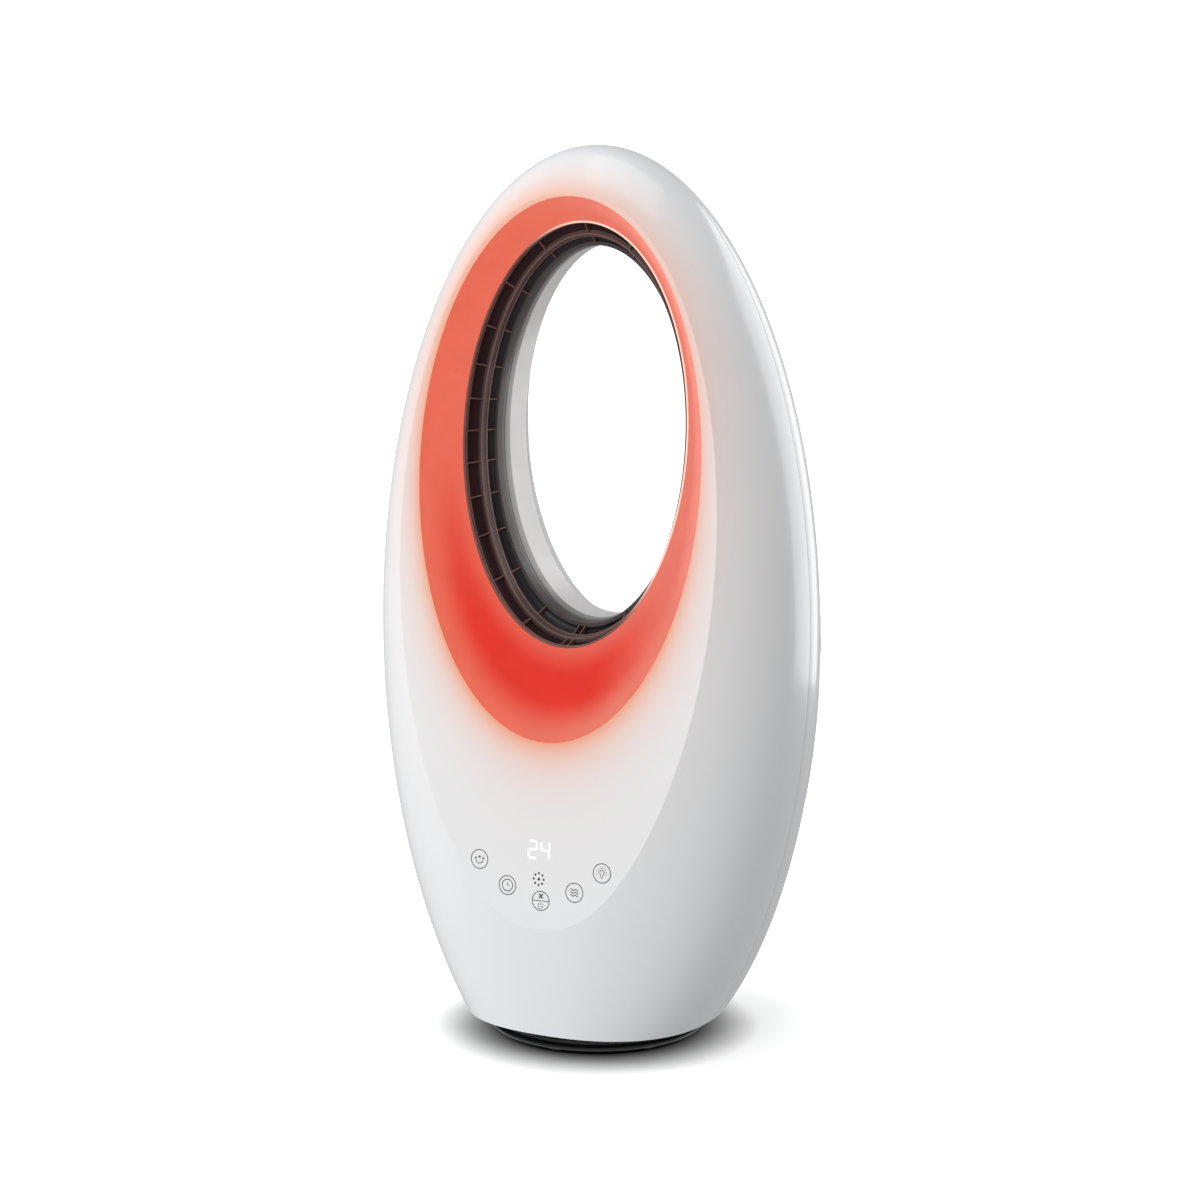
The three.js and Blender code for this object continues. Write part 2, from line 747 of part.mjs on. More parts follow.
// The arc through which the stop pin moves, cut out of the turntable
function stopSlot() {
  const reach = THREE.MathUtils.degToRad(swingStopAngle)
    + Math.asin((stopPinRadius + running) / stopPinCircle);
  const shape = new THREE.Shape();
  const inner = stopPinCircle - stopPinRadius - running;
  const outer = stopPinCircle + stopPinRadius + running;
  const middle = -Math.PI / 2;
  shape.absarc(0, 0, outer, middle - reach, middle + reach, false);
  shape.absarc(0, 0, inner, middle + reach, middle - reach, true);
  const settings = { depth: far, bevelEnabled: false, curveSegments: 10 };
  return solid(new THREE.ExtrudeGeometry(shape, settings));
}

const legPlaces = [-1, 1].flatMap((hand) => [-1, 1].map((side) => (
  [hand * legX, blowerY + side * legSpreadY])));
const bossPlaces = [-1, 1].flatMap((hand) => [-1, 1].map((side) => [hand * bossX, side * bossY]));
const boardPlaces = [-1, 1].flatMap((hand) => [-1, 1].map((side) => (
  [hand * (controlBoardWidth / 2 - 4), controlBoardY + side * (controlBoardDepth / 2 - 4)])));

// The plate that closes the body underneath and turns on the hub
function turntable() {
  const layer = box([-far, far], [-far, far], [turntableBottomZ, turntableTopZ]);
  const disc = bodyLoft(shellWall + gap, bodyBottomZ - 1).intersect(layer);
  const posts = boardPlaces.map(([x, y]) => (
    cylinder(3, [turntableBottomZ, turntableTopZ + standoff], x, y, sides.bore)));
  const holes = [...legPlaces, ...bossPlaces, ...earPlaces].map(([x, y]) => (
    cylinder(screwRadius + gap, [0, far], x, y, sides.bore)));
  const hubHole = cylinder(hubRadius + running, [0, far]);
  const shaftHole = cylinder(pinionShaftRadius + running, [0, far], 0, pinionY, sides.small);
  return cut(join(disc, ...posts), stopSlot(), hubHole, shaftHole, ...holes);
}

// ---------------------------------------------------------------- blower
const legBlock = ([x, y], grow = 0) => box(
  span(x, legWidth + 2 * grow),
  span(y, legWidth + 2 * grow),
  [floorZ, housingBottomZ + legWidth],
);

function blowerHousing() {
  const pipe = tube(housingBore, housingRadius, [housingBottomZ, housingTopZ], blowerY);
  const legs = legPlaces.map((spot) => legBlock(spot));
  const bore = cylinder(housingBore, [-far, far], 0, blowerY);
  const bores = legPlaces.map(([x, y]) => (
    cylinder(screwRadius + gap, [0, floorZ + screwLength], x, y, sides.bore)));
  return cut(join(pipe, ...legs), bore, ...bores);
}

// The rounded mouth that leads air into the blades
function inletBell() {
  const top = housingBottomZ - gap;
  const low = top - bellHeight;
  const wall = 2;
  const curve = [];
  const steps = 4;
  for (let k = 0; k <= steps; k += 1) {
    const angle = (k / steps) * (Math.PI / 2);
    const radius = bellThroatRadius + (housingBore - 3 - bellThroatRadius) * (1 - Math.sin(angle));
    curve.push([radius, low + bellHeight * (1 - Math.cos(angle))]);
  }
  const back = curve.map(([r, z]) => [r + wall, z]).slice(1, -1).reverse();
  const bell = turned([
    ...curve, [housingBore + housingWall, top], [housingBore + housingWall, top - wall],
    [bellThroatRadius + wall, top - wall], ...back.slice(1), [curve[0][0] + wall, low], curve[0],
  ], blowerY);
  return cut(bell, ...legPlaces.map((spot) => legBlock(spot, gap)));
}

// One blade, swept round the hub from its leading edge at the bottom to its trailing edge
function blade(start) {
  const steps = 4;
  const rings = [];
  const sweep = THREE.MathUtils.degToRad(bladeSweepAngle);
  for (let k = 0; k <= steps; k += 1) {
    const share = k / steps;
    const z = bladeBottomZ + bladeInset + (impellerHeight - 2 * bladeInset) * share;
    const inner = impellerHubRadius * 0.7 + impellerHubFlare * 0.6 * share;
    const outer = bellThroatRadius - 3 + (impellerRadius - bellThroatRadius + 3) * share;
    const place = (radius, side) => {
      const angle = start + sweep * share + (side * bladeWall) / 2 / radius;
      return [radius * Math.cos(angle), radius * Math.sin(angle), z];
    };
    rings.push([place(inner, -1), place(outer, -1), place(outer, 1), place(inner, 1)]);
  }
  return stacked(rings);
}

function impeller() {
  const low = bladeBottomZ;
  const hub = turned([
    [0, low], [impellerHubRadius - 4, low], [impellerHubRadius, low + 4],
    [impellerHubRadius + impellerHubFlare, impellerTopZ - impellerHubRim],
    [impellerHubRadius + impellerHubFlare, impellerTopZ],
    [0, impellerTopZ],
  ]);
  const blades = [];
  for (let k = 0; k < bladeCount; k += 1) blades.push(blade((k / bladeCount) * 2 * Math.PI));
  return cut(join(hub, ...blades), cylinder(shaftRadius + gap, [0, far], 0, 0, sides.small));
}

const nutHeight = 5;
const shaftTopZ = motorBottomZ + motorHeight / 2;
const motorShaft = () => cylinder(shaftRadius, [bladeBottomZ - nutHeight - 2, shaftTopZ], 0, 0, sides.small);
const impellerNut = () => {
  const nut = cylinder(shaftRadius * 2, [bladeBottomZ - gap - nutHeight, bladeBottomZ - gap], 0, 0, 6);
  return cut(nut, cylinder(shaftRadius + gap, [0, far], 0, 0, sides.small));
};

function fanMotor() {
  const can = turned([
    [0, motorBottomZ], [motorRadius - 2, motorBottomZ], [motorRadius, motorBottomZ + 2],
    [motorRadius, motorTopZ - 2], [motorRadius - 2, motorTopZ], [0, motorTopZ],
  ], blowerY);
  return cut(can, cylinder(shaftRadius + running, [0, shaftTopZ + 1], 0, blowerY, sides.small));
}

const motorMount = (low) => tube(
  motorRadius + gap,
  motorRadius + gap + mountWall,
  [low, low + mountHeight],
  blowerY,
);

// A still vane between the motor cup and the hoop that sits in the housing
function vane(start) {
  const steps = 2;
  const rings = [];
  const sweep = THREE.MathUtils.degToRad(vaneSweepAngle);
  for (let k = 0; k <= steps; k += 1) {
    const share = k / steps;
    const z = cupBottomZ + 4 + (motorHeight - 8) * share;
    const place = (radius, side) => {
      const angle = start - sweep * (1 - share) ** 2 + side / radius;
      return [radius * Math.cos(angle), radius * Math.sin(angle), z];
    };
    const inner = cupRadius - 1;
    const outer = housingBore - gap - cupWall / 2;
    rings.push([place(inner, -1), place(outer, -1), place(outer, 1), place(inner, 1)]);
  }
  return stacked(rings);
}

function stator() {
  const cup = turned([
    [shaftRadius + 4, cupBottomZ], [cupRadius, cupBottomZ], [cupRadius, cupTopZ],
    [cupBore, cupTopZ], [cupBore, cupBottomZ + cupWall], [shaftRadius + 4, cupBottomZ + cupWall],
    [shaftRadius + 4, cupBottomZ],
  ]);
  const outer = tube(
    housingBore - gap - cupWall,
    housingBore - gap,
    [cupBottomZ + 2, cupBottomZ + motorHeight - 2],
  );
  const vanes = [];
  for (let k = 0; k < vaneCount; k += 1) vanes.push(vane((k / vaneCount) * 2 * Math.PI));
  return join(cup, outer, ...vanes);
}

// The dome that closes the cup over the motor
function motorCap() {
  const low = cupTopZ + gap;
  const profile = [[0, low]];
  const steps = 5;
  for (let k = 0; k <= steps; k += 1) {
    const angle = (k / steps) * (Math.PI / 2);
    profile.push([cupRadius * Math.cos(angle), low + 2 + (capHeight - 2) * Math.sin(angle)]);
  }
  profile.splice(1, 0, [cupRadius, low]);
  profile[profile.length - 1][0] = 0;
  return turned(profile);
}

// The flared duct from the round housing up into the ring
function airDuct() {
  const low = housingTopZ + gap;
  const oval = (inset) => [0, 0.35, 0.7, 1].map((share) => {
    const ease = share * share * (3 - 2 * share);
    const across = housingRadius + (ductHalfWidth - housingRadius) * ease - inset;
    const deep = housingRadius + (ductHalfDepth - housingRadius) * ease - inset;
    const z = low + ductHeight * share;
    return Array.from({ length: sides.round }, (_, s) => {
      const angle = (s / sides.round) * 2 * Math.PI;
      return [across * Math.cos(angle), blowerY + deep * Math.sin(angle), z];
    });
  });
  const inner = oval(ductWall);
  const shifted = (ring, rise) => ring.map(([x, y, z]) => [x, y, z + rise]);
  const open = [shifted(inner[0], -1), ...inner, shifted(inner[3], 1)];
  return cut(stacked(oval(0)), stacked(open));
}

// ---------------------------------------------------------------- electronics
// A block held parallel to the front plate, its front face setback behind the plate's
function plateBlock(x, z, depth, setback) {
  const middle = (z[0] + z[1]) / 2;
  const geometry = new THREE.BoxGeometry(x[1] - x[0], depth, z[1] - z[0]);
  geometry.translate((x[0] + x[1]) / 2, depth / 2, 0);
  geometry.rotateX(-Math.atan(plateLean));
  geometry.translate(0, plateAt(middle) + setback, middle);
  return solid(geometry);
}

// The touch board is trimmed to the shell's curve
const touchBoard = () => plateBlock(
  span(0, touchBoardWidth),
  span(touchBoardZ, touchBoardHeight),
  boardWall,
  plateBack,
).intersect(bodyLoft(shellWall + gap));
const displayModule = () => plateBlock(
  span(0, displayWidth),
  span(displayZ, displayHeight),
  displayDepth,
  plateBack,
);
const displayBoard = () => plateBlock(
  span(0, displayWidth + 2 * displayBoardMargin),
  span(displayZ, displayHeight + displayBoardMargin),
  boardWall,
  plateBack + displayDepth + gap,
);

function controlBoard() {
  const low = floorZ + standoff;
  const top = low + boardWall;
  const board = box(span(0, controlBoardWidth), span(controlBoardY, controlBoardDepth), [low, top]);
  const chip = box(span(0, chipWidth), span(controlBoardY, chipWidth), [low, top + chipHeight]);
  const plugs = [-1, 1].map((hand) => (
    box(
      span(hand * controlBoardWidth * 0.33, plugWidth),
      span(controlBoardY, plugDepth),
      [low, top + plugHeight],
    )));
  const cans = [-1, 1].map((hand) => (
    cylinder(
      canRadius,
      [low, top + canHeight],
      hand * controlBoardWidth * 0.18,
      controlBoardY,
      sides.small,
    )));
  const holes = boardPlaces.map(([x, y]) => cylinder(screwRadius, [0, far], x, y, sides.bore));
  return cut(join(board, chip, ...plugs, ...cans), ...holes);
}

const socketBackY = bulge(socketZ, rearBulge, rearBulgeZ, height - rearBulgeZ, rearBulgeDrop)
  - socketDepth - panelProud;

// The socket's block, or with grow the hole for it, which runs on out of the shell
const socketBlock = (grow) => box(
  span(0, socketWidth + 2 * grow),
  [socketBackY - grow, socketBackY + socketDepth + (grow > 0 ? rearBulge : 0)],
  span(socketZ, socketHeight + 2 * grow),
);

function powerSocket() {
  const barrel = new THREE.CylinderGeometry(socketBore, socketBore, socketDepth, sides.small);
  barrel.translate(0, socketBackY + socketDepth / 2 + 4, socketZ);
  const pin = new THREE.CylinderGeometry(1, 1, socketDepth - 5, sides.bore);
  pin.translate(0, socketBackY + (socketDepth - 5) / 2 + 3, socketZ);
  return join(cut(socketBlock(0), solid(barrel)), solid(pin));
}

// ---------------------------------------------------------------- materials
const plastic = (color, roughness) => new THREE.MeshStandardMaterial({ color, roughness, metalness: 0 });
const metal = (color, roughness) => new THREE.MeshStandardMaterial({ color, roughness, metalness: 1 });
const materials = {
  white: plastic(0xf2f2f3, 0.18),
  light: new THREE.MeshStandardMaterial({
    color: 0xf26a5a, roughness: 0.3, metalness: 0, emissive: 0xe8402f, emissiveIntensity: 0.8,
  }),
  throat: plastic(0xdfe0e2, 0.3),
  grille: plastic(0x3a2a2b, 0.35),
  base: plastic(0x0d0d0e, 0.15),
  rubber: plastic(0x1a1a1a, 0.9),
  frame: plastic(0x5b5e63, 0.5),
  blower: plastic(0x2b2d30, 0.45),
  nylon: plastic(0xe9e6dc, 0.5),
  steel: metal(0xb9bcc0, 0.35),
  iron: metal(0x55565a, 0.7),
  board: plastic(0x1e6b3c, 0.5),
  filter: plastic(0x8a8d92, 0.95),
};

// ---------------------------------------------------------------- assembly
const group = new THREE.Group();

function place(name, body, material, position = [0, 0, 0], parent = group) {
  const mesh = new THREE.Mesh(geometryOf(body), materials[material].clone());
  mesh.name = name;
  mesh.position.set(...position);
  parent.add(mesh);
  return mesh;
}

// Base
place('base_plate', basePlate(), 'base');
place('ballast_weight', ballast(), 'iron');
place('base_cover', baseCover(), 'base');
footPlaces.forEach(([x, y], k) => place(`rubber_foot_${k + 1}`, rubberFoot(), 'rubber', [x, y, 0]));
baseScrewPlaces.forEach(([x, y], k) => {
  place(`base_screw_${k + 1}`, screw(screwLength - 4), 'steel', [x, y, baseBottomZ - gap]);
});
place('swing_gear', swingGear(), 'nylon');
place('slide_ring', slideRing(), 'nylon');
place('pivot_washer', pivotWasher(), 'steel');
const pivotScrew = place('pivot_screw', screw(screwLength - 4), 'steel');
pivotScrew.rotation.x = Math.PI;
pivotScrew.position.z = floorZ + screwRadius + 2 * gap;

// Swinging body: underside and drive
place('turntable', turntable(), 'frame');
place('swing_motor', swingMotor(), 'steel');
earPlaces.forEach(([x, y], k) => {
  const fastener = place(`swing_motor_screw_${k + 1}`, screw(4), 'steel', [x, y, floorZ + 1.2 + gap]);
  fastener.rotation.x = Math.PI;
});
place('swing_pinion', swingPinion(), 'nylon', [0, pinionY, 0]);
bossPlaces.forEach(([x, y], k) => {
  place(`shell_screw_${k + 1}`, screw(), 'steel', [x, y, turntableBottomZ - gap]);
});
legPlaces.forEach(([x, y], k) => {
  place(`housing_screw_${k + 1}`, screw(), 'steel', [x, y, turntableBottomZ - gap]);
});

// Swinging body: shells, light ring and hole lining
place('front_shell', frontShell(), 'white');
place('rear_shell', rearShell(), 'white');
place('inlet_panel', inletPanel(), 'white');
place('dust_filter', dustFilter(), 'filter');
place('light_diffuser', lightDiffuser(), 'light');
place('light_reflector', lightReflector(), 'white');
place('led_strip', ledStrip(), 'board');
place('outlet_grille', outletGrille(), 'grille');
place('throat_ring', throatRing(), 'throat');

// Swinging body: blower
const blower = new THREE.Group();
blower.position.y = blowerY;
group.add(blower);
place('blower_housing', blowerHousing(), 'blower');
place('inlet_bell', inletBell(), 'blower');
place('stator', stator(), 'frame', [0, 0, 0], blower);
place('fan_motor', fanMotor(), 'steel');
place('motor_mount_lower', motorMount(motorBottomZ + 2), 'rubber');
place('motor_mount_upper', motorMount(motorTopZ - mountHeight - 2), 'rubber');
place('motor_cap', motorCap(), 'frame', [0, 0, 0], blower);
place('impeller', impeller(), 'nylon', [0, 0, 0], blower);
place('motor_shaft', motorShaft(), 'steel', [0, 0, 0], blower);
place('impeller_nut', impellerNut(), 'steel', [0, 0, 0], blower);
place('air_duct', airDuct(), 'blower');

// Swinging body: electronics
place('touch_board', touchBoard(), 'board');
place('display_module', displayModule(), 'base');
place('display_board', displayBoard(), 'board');
place('control_board', controlBoard(), 'board');
place('power_socket', powerSocket(), 'base');

export default group;
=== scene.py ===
"""A bladeless fan on its swinging base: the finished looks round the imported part.

Metres, +Z up, the front towards -Y, the origin on the floor in the middle of the base.
"""

import json
from math import acos, atan2, cos, hypot, pi, radians, sin, sqrt

import bmesh
import bpy
from mathutils import Matrix, Vector


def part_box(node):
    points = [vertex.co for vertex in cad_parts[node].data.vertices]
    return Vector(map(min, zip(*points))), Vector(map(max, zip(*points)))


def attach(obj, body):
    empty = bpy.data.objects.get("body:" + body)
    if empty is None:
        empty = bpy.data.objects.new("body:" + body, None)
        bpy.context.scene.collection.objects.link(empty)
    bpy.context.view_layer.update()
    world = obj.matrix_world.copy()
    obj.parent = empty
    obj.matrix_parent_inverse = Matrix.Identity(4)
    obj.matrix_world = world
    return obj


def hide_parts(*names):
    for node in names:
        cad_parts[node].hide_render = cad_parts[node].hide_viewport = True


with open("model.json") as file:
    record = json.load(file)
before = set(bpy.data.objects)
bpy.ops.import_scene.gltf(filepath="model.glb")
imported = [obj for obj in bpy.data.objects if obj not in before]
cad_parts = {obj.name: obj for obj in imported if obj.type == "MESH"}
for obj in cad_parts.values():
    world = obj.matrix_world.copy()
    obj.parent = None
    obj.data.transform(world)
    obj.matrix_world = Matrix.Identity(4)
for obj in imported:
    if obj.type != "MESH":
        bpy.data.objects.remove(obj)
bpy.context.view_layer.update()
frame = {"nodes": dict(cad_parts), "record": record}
nodes = frame["nodes"]

MM = 0.001

# The body's form, as the part has it
HEIGHT = 600 * MM
HALF_WIDTH = 155.8 * MM
WIDEST_Z = HEIGHT * 0.4667
BOTTOM_Z = 15 * MM
FRONT_BULGE = 91.5 * MM
FRONT_CROWN = 2.4
FRONT_Z = HEIGHT * 0.35
FRONT_DROP = HEIGHT * 0.7533
REAR_BULGE = 87.24 * MM
REAR_Z = HEIGHT * 0.2167
REAR_DROP = HEIGHT * 0.5367
SECTION_POWER = 2.4
SHELL_WALL = 2.5 * MM
SEAM_Y = -2 * MM
GAP = 0.3 * MM

PLATE_Y = -65.1 * MM
PLATE_Z = HEIGHT * 0.5523
PLATE_LEAN = 0.095

RING_A = 103.4 * MM
RING_B = HEIGHT * 0.295
RING_Z = HEIGHT * 0.6477
RIM_A = RING_A - 20.7 * MM
RIM_B = RING_B - 38 * MM
RIM_Z = RING_Z + 21.9 * MM
RIM_SETBACK = 22 * MM
BOWL_POWER = 1.6
DIFFUSER_WALL = 2 * MM
THROAT_INSET = 13 * MM
THROAT_Y = 28 * MM
THROAT_A = RIM_A - THROAT_INSET
THROAT_B = RIM_B - THROAT_INSET
FLARE_LENGTH = 60 * MM
FLARE_WIDTH = 45 * MM
FLARE_LEAN_SIDE = 0.6
FLARE_LEAN_END = 0.2  # at the hole's top and bottom
FLARE_ROUND = 2.4 * MM
CREASE_ROUND = 2.0 * MM
LIP_ROUND = 0.35 * MM

# How far the hole's wall has drawn in at each share of its depth: at the sides, top and bottom
LINING = (
    (0.0, 0.0, 0.0, 0.0),
    (0.155, 6.5 * MM, 7.7 * MM, 3.2 * MM),
    (0.256, 8.0 * MM, 9.4 * MM, 5.2 * MM),
    (0.38, 10.5 * MM, 14.8 * MM, 11.0 * MM),
    (0.52, 12.0 * MM, 15.4 * MM, 12.6 * MM),
    (0.63, 12.5 * MM, 15.0 * MM, 13.2 * MM),
    (1.0, THROAT_INSET, THROAT_INSET, THROAT_INSET),
)
# Shares of the depth where each stretch of the lining ends
ROW_1 = 0.155
LEDGE = 0.256
ROW_2 = 0.38
BAND = 0.52
RIM_HOOP = 0.02
HOOP_WALL = 2.5 * MM
LEDGE_WALL = 3 * MM
RIB_COUNT = 24
RIB_HALF = 0.4 * MM
RIB_DEPTH = 6 * MM
TWIN_RIB_LEAN = 0.035  # the lowest rib is a pair, this angle apart
BEAD_RADIUS = 0.75 * MM

# Each channel's closed section: share of the depth, and how far outside the wall
FRONT_CHANNEL = (
    (RIM_HOOP, 2.4 * MM), (0.03, 2.6 * MM), (0.07, 3.6 * MM),
    (ROW_1 - 0.02, 4.0 * MM), (ROW_1 + 0.01, 3.6 * MM),
    (ROW_1 + 0.02, 2.9 * MM), (ROW_1 + 0.035, 2.9 * MM),
    (ROW_1 + 0.03, 8.0 * MM), (ROW_1 - 0.01, 9.6 * MM),
    (0.06, 9.4 * MM), (0.015, 7.0 * MM), (0.008, 2.4 * MM),
)
REAR_CHANNEL = (
    (LEDGE - 0.02, 2.9 * MM), (LEDGE - 0.01, 3.6 * MM),
    (LEDGE + 0.03, 4.6 * MM), (ROW_2 - 0.03, 5.0 * MM),
    (ROW_2 + 0.01, 4.4 * MM), (ROW_2 + 0.02, 2.4 * MM),
    (ROW_2 + 0.035, 2.4 * MM), (ROW_2 + 0.03, 8.6 * MM),
    (ROW_2 - 0.03, 10.6 * MM), (LEDGE + 0.02, 9.8 * MM),
    (LEDGE - 0.025, 7.0 * MM), (LEDGE - 0.035, 2.9 * MM),
)

PANEL_TOP = HEIGHT * 0.4867
PANEL_DROP = HEIGHT * 0.4
PANEL_HALF_WIDTH = 150 * MM
PANEL_POWER = 2.6
PANEL_MARGIN = 12 * MM
PANEL_PROUD = 0.85 * MM
SLOT_HEIGHT = 3 * MM
SLAT_HEIGHT = 2 * MM
SLOT_ROW_PITCH = 30 * MM
SLOTS_IN_ROW = 4
SLOT_EDGE = 11 * MM
BAR_PITCH = 32 * MM

BASE_LOW = 3.3 * MM
BASE_RADIUS = 74.6 * MM
BASE_HEIGHT = 10.8 * MM
BASE_STEP_WIDTH = 3.2 * MM
BASE_WALL = 2.8 * MM
FOOT_RADIUS = 7 * MM
FOOT_HEIGHT = 3 * MM

AROUND = 264  # points round the body's open edge, the ring and the hole
SIDE_STEPS = 28  # from the seam to the front plate's edge
BACK_STEPS = 30  # from the seam to the hole's edge at the back


# ---------------------------------------------------------------- camera
CAMERA_TURN = radians(27)
CAMERA_DISTANCE = 1.645
CAMERA_HEIGHT = 0.5285
CAMERA_PITCH = radians(8.03)

camera_data = bpy.data.cameras.new("camera")
camera_data.lens = 2451.8 / 1200 * 36
camera_data.sensor_width = 36
camera_data.shift_x = (600 - 597.75) / 1200
camera = bpy.data.objects.new("camera", camera_data)
camera.location = (
    CAMERA_DISTANCE * sin(CAMERA_TURN),
    -CAMERA_DISTANCE * cos(CAMERA_TURN),
    CAMERA_HEIGHT,
)
camera.rotation_euler = (pi / 2 - CAMERA_PITCH, 0, CAMERA_TURN)
bpy.context.scene.collection.objects.link(camera)
bpy.context.scene.camera = camera
bpy.context.scene.view_settings.view_transform = "Standard"


# ---------------------------------------------------------------- the body's surface
def bulge(z, peak, peak_z, rise, drop, crown=2):
    share = (z - peak_z) / (rise if z > peak_z else drop)
    return peak * max(0.0, 1 - share * share) ** (1 / (crown if z > peak_z else 2))


def half_width(z):
    return bulge(z, HALF_WIDTH, WIDEST_Z, HEIGHT - WIDEST_Z, HEIGHT - WIDEST_Z)


def front_depth(z):
    return bulge(z, FRONT_BULGE, FRONT_Z, HEIGHT - FRONT_Z, FRONT_DROP, FRONT_CROWN)


def rear_depth(z):
    return bulge(z, REAR_BULGE, REAR_Z, HEIGHT - REAR_Z, REAR_DROP)


def body_y(x, z, side):
    """The body's surface at (x, z): side -1 for the front, 1 for the back."""
    across = half_width(z)
    depth = front_depth(z) if side < 0 else rear_depth(z)
    fill = 1 - min(1.0, abs(x) / max(across, 1e-9)) ** SECTION_POWER
    return side * depth * fill ** (1 / SECTION_POWER)


def plate_y(z):
    return PLATE_Y + PLATE_LEAN * (z - PLATE_Z)


def oval(a, b, z, turn):
    """A point of an upright oval; turn 0 is its top and it runs round by the right side."""
    return a * sin(turn), z + b * cos(turn)


def lerp(start, end, share):
    return tuple(s + (e - s) * share for s, e in zip(start, end))


def evenly(points, count):
    """count + 1 points at even distances along a line of points, both ends kept."""
    lengths = [0.0]
    for p, q in zip(points, points[1:]):
        lengths.append(lengths[-1] + (Vector(q) - Vector(p)).length)
    found, at = [], 0
    for k in range(count + 1):
        wanted = lengths[-1] * k / count
        while at < len(points) - 2 and lengths[at + 1] < wanted:
            at += 1
        run = lengths[at + 1] - lengths[at] or 1.0
        share = min(1.0, max(0.0, (wanted - lengths[at]) / run))
        found.append(lerp(points[at], points[at + 1], share))
    return found


def both_sides(half):
    """A half outline from top to bottom on the right, carried back up on the left."""
    return half + [(-p[0], *p[1:]) for p in half[-2:0:-1]]


def bisect_root(wrong, low, high):
    """Where wrong(value) changes sign between low and high."""
    start = wrong(low) > 0
    for _ in range(48):
        middle = (low + high) / 2
        if (wrong(middle) > 0) == start:
            low = middle
        else:
            high = middle
    return (low + high) / 2


def open_edge(side):
    """A shell's edge up the seam and along the bottom, as (x, y, z) points."""
    reach = HEIGHT - WIDEST_Z
    seam = []
    corner = acos((BOTTOM_Z - WIDEST_Z) / reach)
    for k in range(401):
        x, z = oval(HALF_WIDTH, reach, WIDEST_Z, corner * k / 400)
        seam.append((x, 0.0, z))
    across = half_width(BOTTOM_Z)
    depth = front_depth(BOTTOM_Z) if side < 0 else rear_depth(BOTTOM_Z)
    under = []
    for k in range(201):
        turn = pi / 2 * k / 200
        x = across * max(0.0, cos(turn)) ** (2 / SECTION_POWER)
        under.append((x, side * depth * sin(turn) ** (2 / SECTION_POWER), BOTTOM_Z))
    half = AROUND // 2
    below = round(half * 0.17)
    return both_sides(evenly(seam, half - below)[:-1] + evenly(under, below))


def across_surface(start, end, side, steps):
    """From a point of the open edge over the body's surface to end = (x, z)."""
    fine = 160
    line = []
    for k in range(fine + 1):
        share = (k / fine) ** SECTION_POWER
        x, z = lerp((start[0], start[2]), end, share)
        y = body_y(x, z, side)
        if k == 0:
            y = start[1]
        line.append((x, y, z))
    seam = SEAM_Y - GAP / 2 if side < 0 else SEAM_Y + GAP / 2
    if side < 0:
        kept = [p for p in line if p[1] < seam]
        if len(kept) < len(line):
            first = line[len(line) - len(kept) - 1]
            share = (seam - first[1]) / (kept[0][1] - first[1])
            kept.insert(0, lerp(first, kept[0], share))
        line = kept
    elif start[1] == 0.0:
        line[0] = (line[0][0], seam, line[0][2])
    return evenly(line, steps)


def plate_edge():
    """Where the leaning plate cuts the body's front, as (x, z) points."""
    centre = PLATE_Z
    half = []
    for k in range(721):
        turn = pi * k / 720

        def proud(reach, turn=turn):
            x, z = oval(reach, reach, centre, turn)
            return body_y(x, z, -1) - plate_y(z)

        reach = bisect_root(proud, 0.02, 0.32)
        half.append(oval(reach, reach, centre, turn))
    return both_sides(evenly(half, AROUND // 2))


def oval_edge(a, b, z):
    half = [oval(a, b, z, pi * k / 720) for k in range(721)]
    return both_sides(evenly(half, AROUND // 2))


def flare_widen(turn, y):
    """How far the flare has opened at depth y: a lean at its start and a curl towards its end."""
    along = min(max(0.0, y - THROAT_Y - GAP), FLARE_LENGTH)
    lean = FLARE_LEAN_SIDE * abs(sin(turn)) + FLARE_LEAN_END * abs(cos(turn))
    curl = FLARE_WIDTH * (1 - sqrt(max(0.0, 1 - (along / FLARE_LENGTH) ** 2)))
    return curl + lean * along * (1 - along / FLARE_LENGTH)


def flare_point(turn, y):
    widen = flare_widen(turn, y)
    x, z = oval(THROAT_A + widen, THROAT_B + widen, RIM_Z, turn)
    return x, y, z


def hole_turns():
    """Oval angles that step evenly along the hole's edge."""
    half = [(*oval(THROAT_A, THROAT_B, RIM_Z, pi * k / 720), pi * k / 720) for k in range(721)]
    lengths = [0.0]
    for p, q in zip(half, half[1:]):
        lengths.append(lengths[-1] + hypot(q[0] - p[0], q[1] - p[1]))
    found, at = [], 0
    for k in range(AROUND // 2 + 1):
        wanted = lengths[-1] * k / (AROUND // 2)
        while at < 719 and lengths[at + 1] < wanted:
            at += 1
        share = (wanted - lengths[at]) / (lengths[at + 1] - lengths[at])
        found.append(half[at][2] + (half[at + 1][2] - half[at][2]) * min(1.0, share))
    return found + [-t for t in found[-2:0:-1]]


TURNS = hole_turns()


def bowl(turn, share, back):
    """A point of the light ring: share 0 at the front plate, 1 at the hole's rim."""
    outer = oval(RING_A - GAP, RING_B - GAP, RING_Z, turn)
    inner = oval(RIM_A, RIM_B, RIM_Z, turn)
    x, z = lerp(outer, inner, share)
    return x, plate_y(z) + RIM_SETBACK * (1 - (1 - share) ** BOWL_POWER) + back, z


def drawn_in(turn, share):
    """How far the wall has drawn in from the rim."""
    top, bottom = max(0.0, cos(turn)) ** 2, max(0.0, -cos(turn)) ** 2
    for low, high in zip(LINING, LINING[1:]):
        if share <= high[0]:
            part = (share - low[0]) / (high[0] - low[0])
            side, up, down = (a + (b - a) * part for a, b in zip(low[1:], high[1:]))
            return side * (1 - top - bottom) + up * top + down * bottom
    return THROAT_INSET


